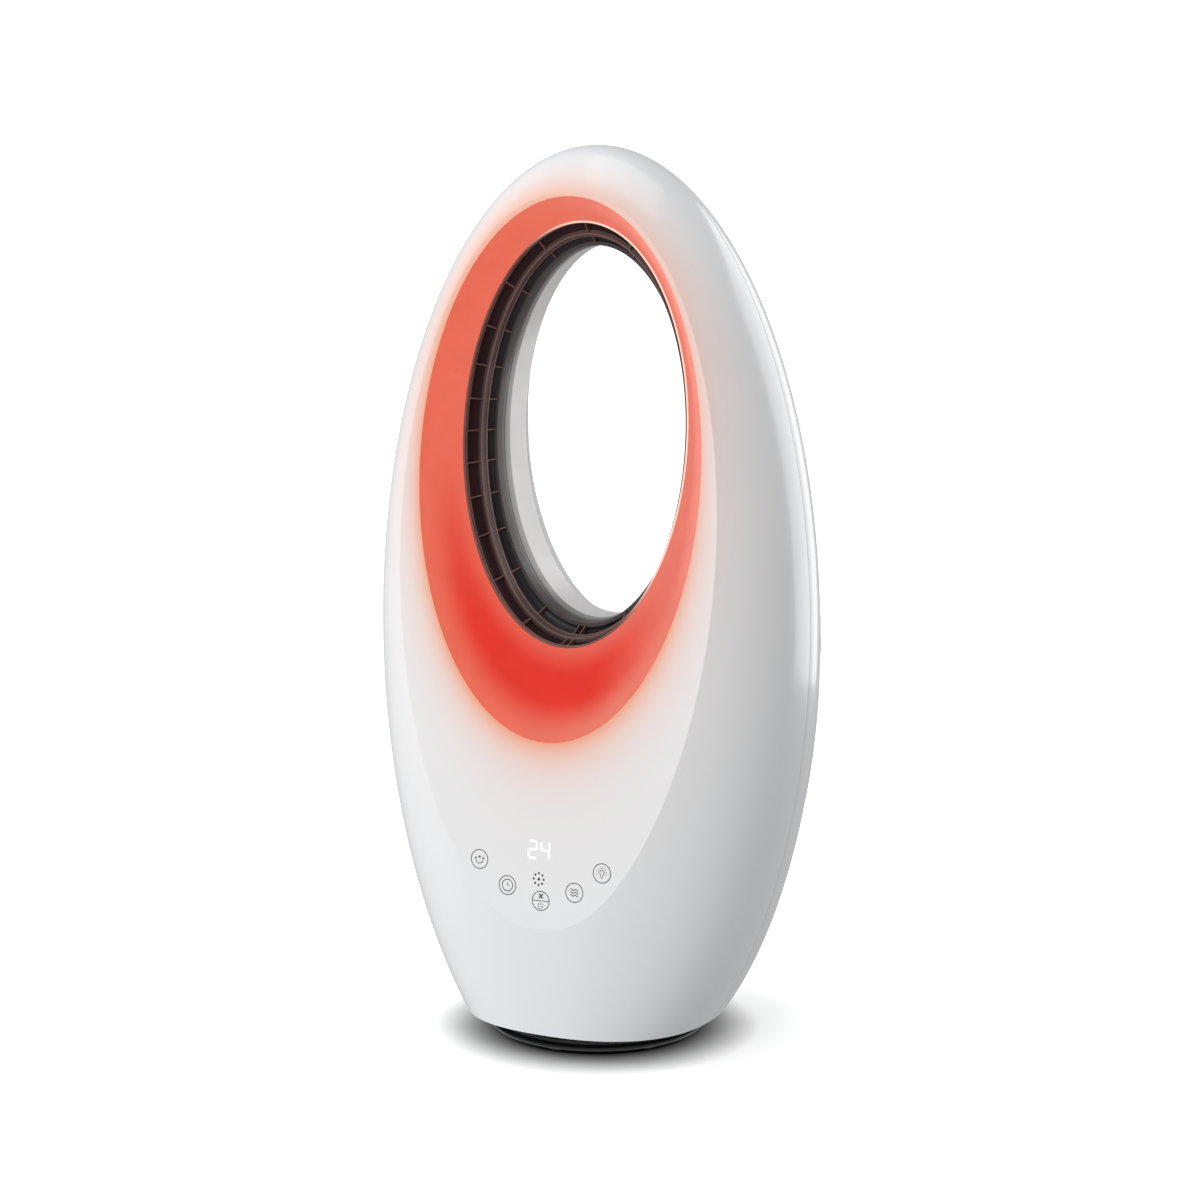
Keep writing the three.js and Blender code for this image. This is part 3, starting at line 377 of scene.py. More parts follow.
def tunnel(turn, share, outwards=0.0):
    """A point of the hole's wall: share 0 behind the light ring, 1 at the throat."""
    inset = drawn_in(turn, share) - outwards
    x, z = oval(RIM_A - inset, RIM_B - inset, RIM_Z, turn)
    start = plate_y(z) + RIM_SETBACK + DIFFUSER_WALL + GAP
    return x, start + (THROAT_Y - start) * share, z


# ---------------------------------------------------------------- modelling by hand
def start_clean():
    if bpy.context.mode != "OBJECT":
        bpy.ops.object.mode_set(mode="OBJECT")
    bpy.ops.object.select_all(action="DESELECT")


def only(piece):
    start_clean()
    piece.select_set(True)
    bpy.context.view_layer.objects.active = piece


def named(name):
    piece = bpy.context.object
    piece.name = name
    piece.data.name = name
    return piece


def loft(name, loops, toward=None, join_ends=False):
    """A circle shaped to the first loop, extruded and laid along each loop after it.

    toward is the way that most of an open surface faces.
    """
    start_clean()
    count = len(loops[0])
    bpy.ops.mesh.primitive_circle_add(vertices=count, radius=1)
    piece = named(name)
    bpy.ops.object.mode_set(mode="EDIT")
    shape = bmesh.from_edit_mesh(piece.data)
    shape.verts.ensure_lookup_table()
    edge = shape.verts[0]
    order, before = [0], None
    while len(order) < count:
        step = [e.other_vert(edge) for e in edge.link_edges]
        following = next(v for v in step if v.index != before and v.index != edge.index)
        if before is None:
            following = step[0]
        before, edge = edge.index, following
        order.append(edge.index)
    for i, place in zip(order, loops[0]):
        shape.verts[i].co = place
    for loop in loops[1:]:
        bpy.ops.mesh.extrude_edges_move()
        shape = bmesh.from_edit_mesh(piece.data)
        shape.verts.index_update()
        shape.verts.ensure_lookup_table()
        new_order = []
        for i in order:
            grown = next(
                v for v in (e.other_vert(shape.verts[i]) for e in shape.verts[i].link_edges)
                if v.select and v.index not in order
            )
            new_order.append(grown.index)
        order = new_order
        for i, place in zip(order, loop):
            shape.verts[i].co = place
    bmesh.update_edit_mesh(piece.data)
    bpy.ops.mesh.select_all(action="SELECT")
    if join_ends:
        bpy.ops.mesh.remove_doubles(threshold=1e-7)
    bpy.ops.mesh.normals_make_consistent(inside=False)
    bpy.ops.object.mode_set(mode="OBJECT")
    if toward is not None:
        facing = sum((f.normal * f.area for f in piece.data.polygons), Vector())
        if facing.dot(Vector(toward)) < 0:
            turn_inside_out(piece)
    return piece


def ring_of(name, section, steps=AROUND):
    """A closed section carried round the hole: section(turn) gives its corners in order."""
    turns = TURNS if steps == AROUND else [2 * pi * k / steps for k in range(steps)]
    sections = [section(turn) for turn in turns]
    loops = [[s[k] for s in sections] for k in range(len(sections[0]))]
    return loft(name, [*loops, loops[0]], join_ends=True)


def turn_inside_out(piece):
    only(piece)
    bpy.ops.object.mode_set(mode="EDIT")
    bpy.ops.mesh.select_all(action="SELECT")
    bpy.ops.mesh.flip_normals()
    bpy.ops.object.mode_set(mode="OBJECT")


def round_edges(piece, offset, segments, wanted):
    """Bevels the edges for which wanted(edge) is true."""
    only(piece)
    bpy.ops.object.mode_set(mode="EDIT")
    bpy.ops.mesh.select_mode(type="EDGE")
    bpy.ops.mesh.select_all(action="DESELECT")
    shape = bmesh.from_edit_mesh(piece.data)
    for e in shape.edges:
        e.select_set(wanted(e))
    bmesh.update_edit_mesh(piece.data)
    bpy.ops.mesh.bevel(
        offset=offset, segments=segments, affect="EDGES", clamp_overlap=True, profile=0.5
    )
    bpy.ops.mesh.select_mode(type="VERT")
    bpy.ops.object.mode_set(mode="OBJECT")


def sharp(degrees):
    least = radians(degrees)
    return lambda e: len(e.link_faces) == 2 and e.calc_face_angle(0) > least


def give_wall(piece, thickness):
    only(piece)
    wall = piece.modifiers.new("wall", "SOLIDIFY")
    wall.thickness = thickness
    wall.offset = -1
    bpy.ops.object.modifier_apply(modifier="wall")


def cut_with(piece, tool, operation="DIFFERENCE"):
    """Cuts a piece by a tool, which is then used up."""
    only(piece)
    cut = piece.modifiers.new("cut", "BOOLEAN")
    cut.operation = operation
    cut.object = tool
    cut.solver = "EXACT"
    bpy.ops.object.modifier_apply(modifier="cut")
    bpy.data.objects.remove(tool)


def smooth(piece, degrees=32):
    only(piece)
    bpy.ops.object.shade_smooth_by_angle(angle=radians(degrees))


def settle_normals(piece):
    """Keeps flat faces flat beside the small rounds at their edges."""
    only(piece)
    settle = piece.modifiers.new("settle", "WEIGHTED_NORMAL")
    settle.keep_sharp = True
    bpy.ops.object.modifier_apply(modifier="settle")


def turned(name, profile, steps=144):
    """A closed profile of (radius, height) points spun about the upright axis."""
    start_clean()
    bpy.ops.mesh.primitive_circle_add(vertices=len(profile), radius=1)
    piece = named(name)
    shape = bmesh.new()
    shape.from_mesh(piece.data)
    shape.verts.ensure_lookup_table()
    for v, (radius, z) in zip(shape.verts, profile):
        v.co = (radius, 0, z)
    shape.to_mesh(piece.data)
    shape.free()
    bpy.ops.object.mode_set(mode="EDIT")
    bpy.ops.mesh.select_all(action="SELECT")
    bpy.ops.mesh.spin(steps=steps, angle=2 * pi, center=(0, 0, 0), axis=(0, 0, 1))
    bpy.ops.mesh.select_all(action="SELECT")
    bpy.ops.mesh.remove_doubles(threshold=1e-6)
    bpy.ops.mesh.normals_make_consistent(inside=False)
    bpy.ops.object.mode_set(mode="OBJECT")
    return piece


def prism(name, outline, near, far):
    """A flat outline of (x, z) points, filled and drawn out along Y."""
    start_clean()
    bpy.ops.mesh.primitive_circle_add(vertices=len(outline), radius=1, fill_type="NGON")
    piece = named(name)
    for v, (x, z) in zip(piece.data.vertices, outline):
        v.co = (x, near, z)
    bpy.ops.object.mode_set(mode="EDIT")
    bpy.ops.mesh.select_all(action="SELECT")
    bpy.ops.mesh.extrude_region_move(TRANSFORM_OT_translate={"value": (0, far - near, 0)})
    bpy.ops.mesh.select_all(action="SELECT")
    bpy.ops.mesh.normals_make_consistent(inside=False)
    bpy.ops.object.mode_set(mode="OBJECT")
    return piece


def block(name, low, high):
    start_clean()
    middle = [(a + b) / 2 for a, b in zip(low, high)]
    bpy.ops.mesh.primitive_cube_add(size=1, location=middle)
    piece = named(name)
    piece.scale = [b - a for a, b in zip(low, high)]
    bpy.ops.object.transform_apply(location=True, rotation=True, scale=True)
    return piece


def merged(name, pieces):
    start_clean()
    for piece in pieces:
        piece.select_set(True)
    bpy.context.view_layer.objects.active = pieces[0]
    bpy.ops.object.join()
    return named(name)


# ---------------------------------------------------------------- materials
def node_tree(name):
    material = bpy.data.materials.new(name)
    material.use_nodes = True
    tree = material.node_tree
    shader = next(n for n in tree.nodes if n.type == "BSDF_PRINCIPLED")
    return material, tree, shader


def wire(tree, source, target):
    tree.links.new(source, target)


def place_of(tree):
    return tree.nodes.new("ShaderNodeTexCoord").outputs["Object"]


def noise(tree, scale, detail=2.0):
    grain = tree.nodes.new("ShaderNodeTexNoise")
    grain.inputs["Scale"].default_value = scale
    grain.inputs["Detail"].default_value = detail
    wire(tree, place_of(tree), grain.inputs["Vector"])
    return grain.outputs["Fac"]


def calc(tree, operation, first, second=None, third=None, clamp=False):
    """One Math node; each input is a socket or a number."""
    step = tree.nodes.new("ShaderNodeMath")
    step.operation = operation
    step.use_clamp = clamp
    for k, value in enumerate((first, second, third)):
        if value is None:
            continue
        if isinstance(value, (int, float)):
            step.inputs[k].default_value = value
        else:
            wire(tree, value, step.inputs[k])
    return step.outputs[0]


def spread(tree, value, low, high, to_low=0.0, to_high=1.0, kind="SMOOTHSTEP"):
    """value taken from the range low..high to to_low..to_high."""
    step = tree.nodes.new("ShaderNodeMapRange")
    step.interpolation_type = kind
    step.inputs["From Min"].default_value = low
    step.inputs["From Max"].default_value = high
    step.inputs["To Min"].default_value = to_low
    step.inputs["To Max"].default_value = to_high
    wire(tree, value, step.inputs["Value"])
    return step.outputs["Result"]


def blend_colours(tree, share, first, second):
    """A colour between two, each a socket or an RGB triple."""
    step = tree.nodes.new("ShaderNodeMix")
    step.data_type = "RGBA"
    wire(tree, share, step.inputs["Factor"])
    for socket, value in ((step.inputs[6], first), (step.inputs[7], second)):
        if isinstance(value, tuple):
            socket.default_value = (*value, 1)
        else:
            wire(tree, value, socket)
    return step.outputs[2]


def axes(tree):
    parts = tree.nodes.new("ShaderNodeSeparateXYZ")
    wire(tree, place_of(tree), parts.inputs[0])
    return parts.outputs


def skin(tree, shader, roughness, grain, bump, depth, uneven=0.2):
    """Uneven gloss and a fine moulded grain."""
    low, high = roughness * (1 - uneven), roughness * (1 + uneven)
    wire(tree, spread(tree, noise(tree, grain / 6), 0.25, 0.75, low, high), shader.inputs["Roughness"])
    relief = tree.nodes.new("ShaderNodeBump")
    relief.inputs["Strength"].default_value = bump
    relief.inputs["Distance"].default_value = depth
    wire(tree, noise(tree, grain, 3.0), relief.inputs["Height"])
    wire(tree, relief.outputs["Normal"], shader.inputs["Normal"])


def paint(name, colour, roughness, grain=600.0, bump=0.1, depth=0.00005, vary=0.06, **sockets):
    """A moulded or rolled surface: colour that drifts a little, uneven gloss, fine grain."""
    material, tree, shader = node_tree(name)
    drift = spread(tree, noise(tree, grain / 14, 4.0), 0.3, 0.7)
    darker = tuple(c * (1 - vary) for c in colour)
    wire(tree, blend_colours(tree, drift, darker, colour), shader.inputs["Base Color"])
    skin(tree, shader, roughness, grain, bump, depth)
    for socket, value in sockets.items():
        shader.inputs[socket.replace("_", " ")].default_value = value
    return material


def oval_distance(tree, a, b, z):
    """How far a point lies out from an upright oval: 0 on it, 1 at twice its size."""
    x, _, up = axes(tree)
    across = calc(tree, "DIVIDE", x, a)
    along = calc(tree, "DIVIDE", calc(tree, "SUBTRACT", up, z), b)
    squares = calc(tree, "ADD", calc(tree, "POWER", across, 2.0), calc(tree, "POWER", along, 2.0))
    return calc(tree, "SUBTRACT", calc(tree, "SQRT", squares), 1.0)


def white_gloss(name, lit):
    """White gloss plastic; on the front shell a painted glow round the light ring, a coral tint and a
    soft emission standing in for the ring's light falling on the shell.
    """
    material, tree, shader = node_tree(name)
    white = (0.80, 0.808, 0.815)
    drift = spread(tree, noise(tree, 9.0), 0.25, 0.75)
    plain = blend_colours(tree, drift, (0.79, 0.798, 0.805), white)
    shader.inputs["Coat Weight"].default_value = 0.4
    shader.inputs["Coat Roughness"].default_value = 0.08
    shader.inputs["IOR"].default_value = 1.48
    skin(tree, shader, 0.24, 180.0, 0.012, 0.00002, uneven=0.05)
    if not lit:
        wire(tree, plain, shader.inputs["Base Color"])
        return material
    # Painted light: the ring's glow on the shell, strongest next to the ring, stronger low down and to
    # the left, and only towards the front.
    away = oval_distance(tree, RING_A, RING_B, RING_Z)
    x, y, z = axes(tree)
    near_glow = calc(tree, "EXPONENT", calc(tree, "MULTIPLY", away, -13.0))
    strength = calc(tree, "MAXIMUM", spread(tree, z, 0.42, 0.24, 0.45, 1.0),
                    spread(tree, x, 0.05, -0.06, 0.45, 0.9))
    low_glow = calc(tree, "MULTIPLY", near_glow, strength)
    wide_glow = calc(tree, "EXPONENT", calc(tree, "MULTIPLY", away, -5.0))
    glow = calc(tree, "ADD", calc(tree, "MULTIPLY", low_glow, 0.75),
                calc(tree, "MULTIPLY", wide_glow, 0.3), clamp=True)
    front = spread(tree, y, -0.045, -0.02, 1.0, 0.0)
    glow = calc(tree, "MULTIPLY", glow, front)
    wire(tree, blend_colours(tree, glow, plain, (0.72, 0.33, 0.21)), shader.inputs["Base Color"])
    warm = blend_colours(tree, near_glow, (1.0, 0.52, 0.34), (1.0, 0.36, 0.20))
    wire(tree, warm, shader.inputs["Emission Color"])
    wire(tree, calc(tree, "MULTIPLY", glow, 0.14), shader.inputs["Emission Strength"])
    return material


def ring_glow():
    """The lit coral ring: deep red low down in the middle of its band, paler at its edges."""
    material, tree, shader = node_tree("lit_coral_ring")
    x, _, z = axes(tree)
    out = oval_distance(tree, RING_A, RING_B, RING_Z)
    inner = oval_distance(tree, RIM_A, RIM_B, RIM_Z)
    low = spread(tree, z, 0.43, 0.27, 0.0, 1.0)
    from_edge = spread(tree, out, -0.01, -0.15, 0.0, 1.0)
    from_rim = spread(tree, inner, -0.03, 0.14, 0.25, 1.0)
    off_right = spread(tree, x, 0.10, 0.02, 0.0, 1.0)
    deep = calc(tree, "MULTIPLY", calc(tree, "MULTIPLY", low, off_right),
                calc(tree, "MULTIPLY", from_edge, from_rim), clamp=True)
    right = spread(tree, x, -0.06, 0.075, 0.0, 1.0)
    coral = blend_colours(tree, right, (0.84, 0.155, 0.095), (0.825, 0.212, 0.157))
    lit = blend_colours(tree, deep, coral, (0.785, 0.032, 0.020))
    spots = spread(tree, noise(tree, 60.0), 0.3, 0.7, 0.98, 1.02)
    tone = tree.nodes.new("ShaderNodeVectorMath")
    tone.operation = "SCALE"
    wire(tree, lit, tone.inputs[0])
    wire(tree, spots, tone.inputs["Scale"])
    wire(tree, tone.outputs[0], shader.inputs["Emission Color"])
    shader.inputs["Emission Strength"].default_value = 0.94
    shader.inputs["Base Color"].default_value = (0.03, 0.006, 0.004, 1)
    shader.inputs["Specular IOR Level"].default_value = 0.22
    skin(tree, shader, 0.3, 260.0, 0.02, 0.00002)
    return material


def throat_finish():
    """Pale grey satin that darkens towards the outlet grille."""
    material, tree, shader = node_tree("throat_satin")
    _, y, z = axes(tree)
    start = calc(tree, "ADD", calc(tree, "MULTIPLY", z, PLATE_LEAN),
                 PLATE_Y - PLATE_LEAN * PLATE_Z + RIM_SETBACK + DIFFUSER_WALL + GAP)
    depth = calc(tree, "SUBTRACT", THROAT_Y, start)
    share = calc(tree, "DIVIDE", calc(tree, "SUBTRACT", y, start), depth)
    light = spread(tree, share, 0.61, 0.645, 0.0, 1.0)
    wire(tree, blend_colours(tree, light, (0.24, 0.23, 0.23), (0.76, 0.76, 0.76)),
         shader.inputs["Base Color"])
    shader.inputs["Coat Weight"].default_value = 0.2
    skin(tree, shader, 0.35, 260.0, 0.02, 0.00003)
    return material


def grille_finish(name, colour, pale, gloss):
    """Semi-gloss brown plastic that drifts between two browns."""
    material, tree, shader = node_tree(name)
    drift = spread(tree, noise(tree, 30.0, 4.0), 0.3, 0.7)
    wire(tree, blend_colours(tree, drift, colour, pale), shader.inputs["Base Color"])
    shader.inputs["Specular IOR Level"].default_value = gloss
    skin(tree, shader, 0.34, 300.0, 0.04, 0.00003)
    return material


def bead_finish():
    """Brown, with painted light towards the right and the top: cream and a faint emission stand in for
    the lamp's light shining through.
    """
    material, tree, shader = node_tree("rim_bead")
    x, _, z = axes(tree)
    # Painted light: the bead is paler and glows where it leans to the right and up.
    lean = calc(tree, "ADD", x, calc(tree, "MULTIPLY", calc(tree, "SUBTRACT", z, RIM_Z), 0.35))
    lit = spread(tree, lean, -0.005, 0.045, 0.0, 1.0)
    wire(tree, blend_colours(tree, lit, (0.20, 0.09, 0.075), (0.85, 0.62, 0.52)),
         shader.inputs["Base Color"])
    shader.inputs["Emission Color"].default_value = (1.0, 0.62, 0.50, 1)
    wire(tree, calc(tree, "MULTIPLY", lit, 0.35), shader.inputs["Emission Strength"])
    skin(tree, shader, 0.4, 300.0, 0.03, 0.00003)
    return material


def filter_weave():
    """A fine woven dust filter: two crossed waves."""
    material, tree, shader = node_tree("filter_weave")
    waves = []
    for axis in ("X", "Z"):
        wave = tree.nodes.new("ShaderNodeTexWave")
        wave.wave_type = "BANDS"
        wave.bands_direction = axis
        wave.inputs["Scale"].default_value = 260.0
        wave.inputs["Distortion"].default_value = 0.4
        wire(tree, place_of(tree), wave.inputs["Vector"])
        waves.append(wave.outputs["Fac"])
    weave = calc(tree, "MULTIPLY", *waves)
    wire(tree, blend_colours(tree, weave, (0.05, 0.052, 0.056), (0.20, 0.205, 0.215)),
         shader.inputs["Base Color"])
    shader.inputs["Roughness"].default_value = 0.9
    relief = tree.nodes.new("ShaderNodeBump")
    relief.inputs["Strength"].default_value = 0.5
    relief.inputs["Distance"].default_value = 0.0002
    wire(tree, weave, relief.inputs["Height"])
    wire(tree, relief.outputs["Normal"], shader.inputs["Normal"])
    return material


def figure_light():
    """The display's figures, lit white and a little uneven."""
    material, tree, shader = node_tree("lit_figures")
    shader.inputs["Emission Color"].default_value = (1, 1, 1, 1)
    uneven = spread(tree, noise(tree, 300.0), 0.3, 0.7, 1.0, 1.12)
    wire(tree, uneven, shader.inputs["Emission Strength"])
    return material


def board_finish():
    """Green solder mask with paler copper runs."""
    material, tree, shader = node_tree("solder_mask")
    cells = tree.nodes.new("ShaderNodeTexBrick")
    cells.inputs["Scale"].default_value = 120.0
    cells.inputs["Color1"].default_value = (0.01, 0.10, 0.04, 1)
    cells.inputs["Color2"].default_value = (0.012, 0.12, 0.05, 1)
    cells.inputs["Mortar"].default_value = (0.05, 0.24, 0.10, 1)
    wire(tree, place_of(tree), cells.inputs["Vector"])
    wire(tree, cells.outputs["Color"], shader.inputs["Base Color"])
    skin(tree, shader, 0.35, 500.0, 0.1, 0.00005)
    return material


finishes = {
    "white_shell": white_gloss("white_gloss", lit=False),
    "light_ring": ring_glow(),
    "throat_grey": throat_finish(),
    "grille_brown": grille_finish("grille_brown", (0.055, 0.030, 0.028), (0.075, 0.042, 0.038), 0.4),
    "base_black": paint("black_gloss", (0.004, 0.004, 0.005), 0.14, bump=0.03, Coat_Weight=0.2),
    "rubber_black": paint("rubber", (0.018, 0.018, 0.018), 0.75, grain=900.0, bump=0.3),
    "frame_grey": paint("grey_moulding", (0.10, 0.105, 0.115), 0.5, bump=0.2),
    "blower_black": paint("black_moulding", (0.022, 0.023, 0.025), 0.45, bump=0.2),
    "nylon_white": paint("nylon", (0.72, 0.70, 0.64), 0.45, bump=0.1),
    "steel": paint("zinc_plate", (0.55, 0.56, 0.58), 0.32, grain=350.0, Metallic=1.0),
    "iron": paint("cast_iron", (0.10, 0.10, 0.105), 0.65, grain=260.0, bump=0.6,
                  depth=0.0003, Metallic=0.8),
    "board_green": board_finish(),
    "filter_grey": filter_weave(),
}
white_with_painted_glow = white_gloss("white_gloss_painted_glow", lit=True)
# The air gaps' channel walls: behind the front row a darker brown, partly the moulding's own brown and
# partly painted shade; behind the rear row near black, painted shade of the gaps.
shaded_cell_brown = grille_finish("outlet_cell", (0.030, 0.013, 0.015), (0.040, 0.017, 0.019), 0.12)
shaded_cell_black = grille_finish("outlet_cell_rear", (0.006, 0.006, 0.008), (0.010, 0.009, 0.011), 0.5)
rib_brown = grille_finish("rib_brown", (0.15, 0.078, 0.066), (0.20, 0.105, 0.09), 0.35)
band_grey = grille_finish("band_grey", (0.055, 0.045, 0.044), (0.070, 0.058, 0.056), 0.4)
symbol_ink = paint("symbol_ink", (0.055, 0.056, 0.060), 0.4, grain=2000.0)


def dress(piece, body, slot, material=None, stands_for=()):
    piece.data.materials.clear()
    piece.data.materials.append(material or finishes[slot])
    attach(piece, body)
    if stands_for:
        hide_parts(*stands_for)
    return piece


for part in frame["record"]["subparts"]:
    carried = nodes[part["node"]]
    carried.data.materials.clear()
    carried.data.materials.append(finishes[part["material_slot"]])


# ---------------------------------------------------------------- shells
def front_shell():
    crease = plate_edge()
    hole = oval_edge(RING_A, RING_B, RING_Z)
    columns = []
    for start, bend, inner in zip(open_edge(-1), crease, hole):
        column = across_surface(start, bend, -1, SIDE_STEPS)
        for share in (0.03, 0.12, 0.4, 0.7, 0.93, 1.0):
            x, z = lerp(bend, inner, share)
            column.append((x, plate_y(z), z))
        columns.append(column)
    loops = [[c[k] for c in columns] for k in range(len(columns[0]))]
    shell = loft("front_shell_skin", loops, toward=(0, -1, 0))
    crease_keys = {tuple(round(v, 5) for v in p) for p in loops[SIDE_STEPS]}

    def on_crease(e):
        return all(tuple(round(v, 5) for v in w.co) in crease_keys for w in e.verts)

    round_edges(shell, CREASE_ROUND, 5, on_crease)
    give_wall(shell, SHELL_WALL)
    round_edges(shell, LIP_ROUND, 2, sharp(55))
    smooth(shell)
    settle_normals(shell)
    return dress(shell, "body", "white_shell", white_with_painted_glow, ["front_shell"])


def back_columns():
    """From the seam to the hole's edge over the back, and that edge's depth."""
    columns, edges = [], []
    for start, turn in zip(open_edge(1), TURNS):

        def proud(y, turn=turn):
            x, _, z = flare_point(turn, y)
            return y - body_y(x, z, 1)

        y = bisect_root(proud, THROAT_Y, REAR_BULGE)
        x, _, z = flare_point(turn, y)
        columns.append(across_surface(start, (x, z), 1, BACK_STEPS))
        edges.append(y)
    return columns, edges


def rear_shell(columns, edges):
    whole = []
    for column, y, turn in zip(columns, edges, TURNS):
        wall = [flare_point(turn, THROAT_Y + GAP + (y - THROAT_Y - GAP) * (1 - k / 9) ** 1.2)
                for k in range(1, 10)]
        whole.append(column + wall)
    loops = [[c[k] for c in whole] for k in range(len(whole[0]))]
    shell = loft("rear_shell_skin", loops, toward=(0, 1, 0))
    edge_keys = {tuple(round(v, 5) for v in p) for p in loops[BACK_STEPS]}

    def on_edge(e):
        return all(tuple(round(v, 5) for v in w.co) in edge_keys for w in e.verts)

    round_edges(shell, FLARE_ROUND, 5, on_edge)
    give_wall(shell, SHELL_WALL)
    round_edges(shell, LIP_ROUND, 2, sharp(60))
    cut_with(shell, panel_tool("panel_opening", GAP))
    cut_with(shell, socket_tool())
    smooth(shell)
    return dress(shell, "body", "white_shell", None, ["rear_shell"])


def panel_outline(grow):
    steps = 40
    top = PANEL_TOP + grow
    half = []
    for k in range(steps + 1):
        turn = pi / 2 * k / steps
        x = (PANEL_HALF_WIDTH + grow) * max(0.0, cos(turn)) ** (2 / PANEL_POWER)
        half.append((x, top - (PANEL_DROP + 2 * grow) * sin(turn) ** (2 / PANEL_POWER)))
    return half + [(-x, z) for x, z in half[-2::-1]]


def panel_tool(name, grow):
    """The inlet panel's outline, drawn out backwards, less the space round the hole."""
    near = SEAM_Y + 5.5 * MM
    tool = prism(name, panel_outline(grow), near, 0.15)
    width = PANEL_MARGIN + FLARE_WIDTH * 0.75 - grow
    round_hole = [oval(THROAT_A + width, THROAT_B + width, RIM_Z, 2 * pi * k / 160)
                  for k in range(160)]
    cut_with(tool, prism("round_hole", round_hole, near - 0.01, 0.16))
    return tool


def socket_tool():
    low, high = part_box("power_socket")
    return block("socket_opening", (low.x - GAP, low.y - GAP, low.z - GAP),
                 (high.x + GAP, 0.15, high.z + GAP))


def slot_tools():
    """Level slots in rows, one made and the rest copied, less the upright bars across them."""
    row_start = PANEL_TOP - PANEL_DROP + 2 * SLOT_ROW_PITCH
    first = block("slots", (-0.16, 0.02, row_start), (0.16, 0.14, row_start + SLOT_HEIGHT))
    copies = [first]
    row = 0
    while row_start + row * SLOT_ROW_PITCH < PANEL_TOP - 18 * MM:
        for k in range(SLOTS_IN_ROW):
            if row == 0 and k == 0:
                continue
            rise = row * SLOT_ROW_PITCH + k * (SLOT_HEIGHT + SLAT_HEIGHT)
            copy = first.copy()
            copy.data = first.data.copy()
            copy.data.transform(Matrix.Translation((0, 0, rise)))
            bpy.context.scene.collection.objects.link(copy)
            copies.append(copy)
        row += 1
    slots = merged("slots", copies)
    bars = []
    for k in range(-4, 5):
        x = k * BAR_PITCH
        half = 3 * MM if k % 2 == 0 else 1 * MM
        bars.append(block("bar", (x - half, 0.0, 0.0), (x + half, 0.15, 0.6)))
    cut_with(slots, merged("bars", bars))
    cut_with(slots, panel_tool("slot_bounds", -SLOT_EDGE), "INTERSECT")
    return slots


def inlet_panel(columns):
    loops = [[c[k] for c in columns] for k in range(len(columns[0]))]
    panel = loft("inlet_panel_louvred", loops, toward=(0, 1, 0))
    only(panel)
    bpy.ops.object.mode_set(mode="EDIT")
    bpy.ops.mesh.select_all(action="SELECT")
    bpy.ops.transform.shrink_fatten(value=PANEL_PROUD)
    bpy.ops.object.mode_set(mode="OBJECT")
    give_wall(panel, SHELL_WALL)
    cut_with(panel, panel_tool("panel_outline", 0.0), "INTERSECT")
    cut_with(panel, slot_tools())
    smooth(panel, 25)
    return dress(panel, "body", "white_shell", None, ["inlet_panel"])


front_shell()
back, back_edges = back_columns()
rear_shell(back, back_edges)
inlet_panel(back)


# ---------------------------------------------------------------- light ring and hole lining
def light_diffuser():
    steps = 20
    loops = [[bowl(turn, k / steps, 0.0) for turn in TURNS] for k in range(steps + 1)]
    ring = loft("light_ring_diffuser", loops, toward=(0, -1, 0))
    give_wall(ring, DIFFUSER_WALL)
    round_edges(ring, 0.4 * MM, 3, sharp(55))
    smooth(ring)
    return dress(ring, "body", "light_ring", None, ["light_diffuser"])


def hoop(name, start, end, wall, outwards=0.0):
    """A hoop of the hole's lining between two shares of its depth."""
    def section(turn):
        inner = [tunnel(turn, start + (end - start) * k / 3, outwards) for k in range(4)]
        return [*inner, tunnel(turn, end, outwards + wall), tunnel(turn, start, outwards + wall)]

    piece = ring_of(name, section)
    round_edges(piece, LIP_ROUND, 2, sharp(50))
    smooth(piece)
    return piece


def rib(polar):
    """One rib across both rows of air gaps, at a polar angle about the hole's centre."""
    turn = atan2(cos(polar) / RIM_A, sin(polar) / RIM_B)
    speed = hypot(RIM_A * cos(turn), RIM_B * sin(turn))
    half = RIB_HALF / speed
    stations = (0.01, ROW_1, LEDGE, ROW_2 + 0.01)
    corners = [(share, GAP) for share in stations]
    corners += [(share, RIB_DEPTH) for share in stations[:0:-1]]
    corners.append((0.04, RIB_DEPTH - 1 * MM))
    loops = [[tunnel(at, share, out) for share, out in corners]
             for at in (turn - half, turn + half)]
    piece = loft("rib", loops)
    only(piece)
    bpy.ops.object.mode_set(mode="EDIT")
    for _ in range(2):  # one flat side, then the other
        bpy.ops.mesh.select_all(action="DESELECT")
        bpy.ops.mesh.select_non_manifold()
        bpy.ops.mesh.edge_face_add()
    bpy.ops.mesh.select_all(action="SELECT")
    bpy.ops.mesh.normals_make_consistent(inside=False)
    bpy.ops.object.mode_set(mode="OBJECT")
    return piece


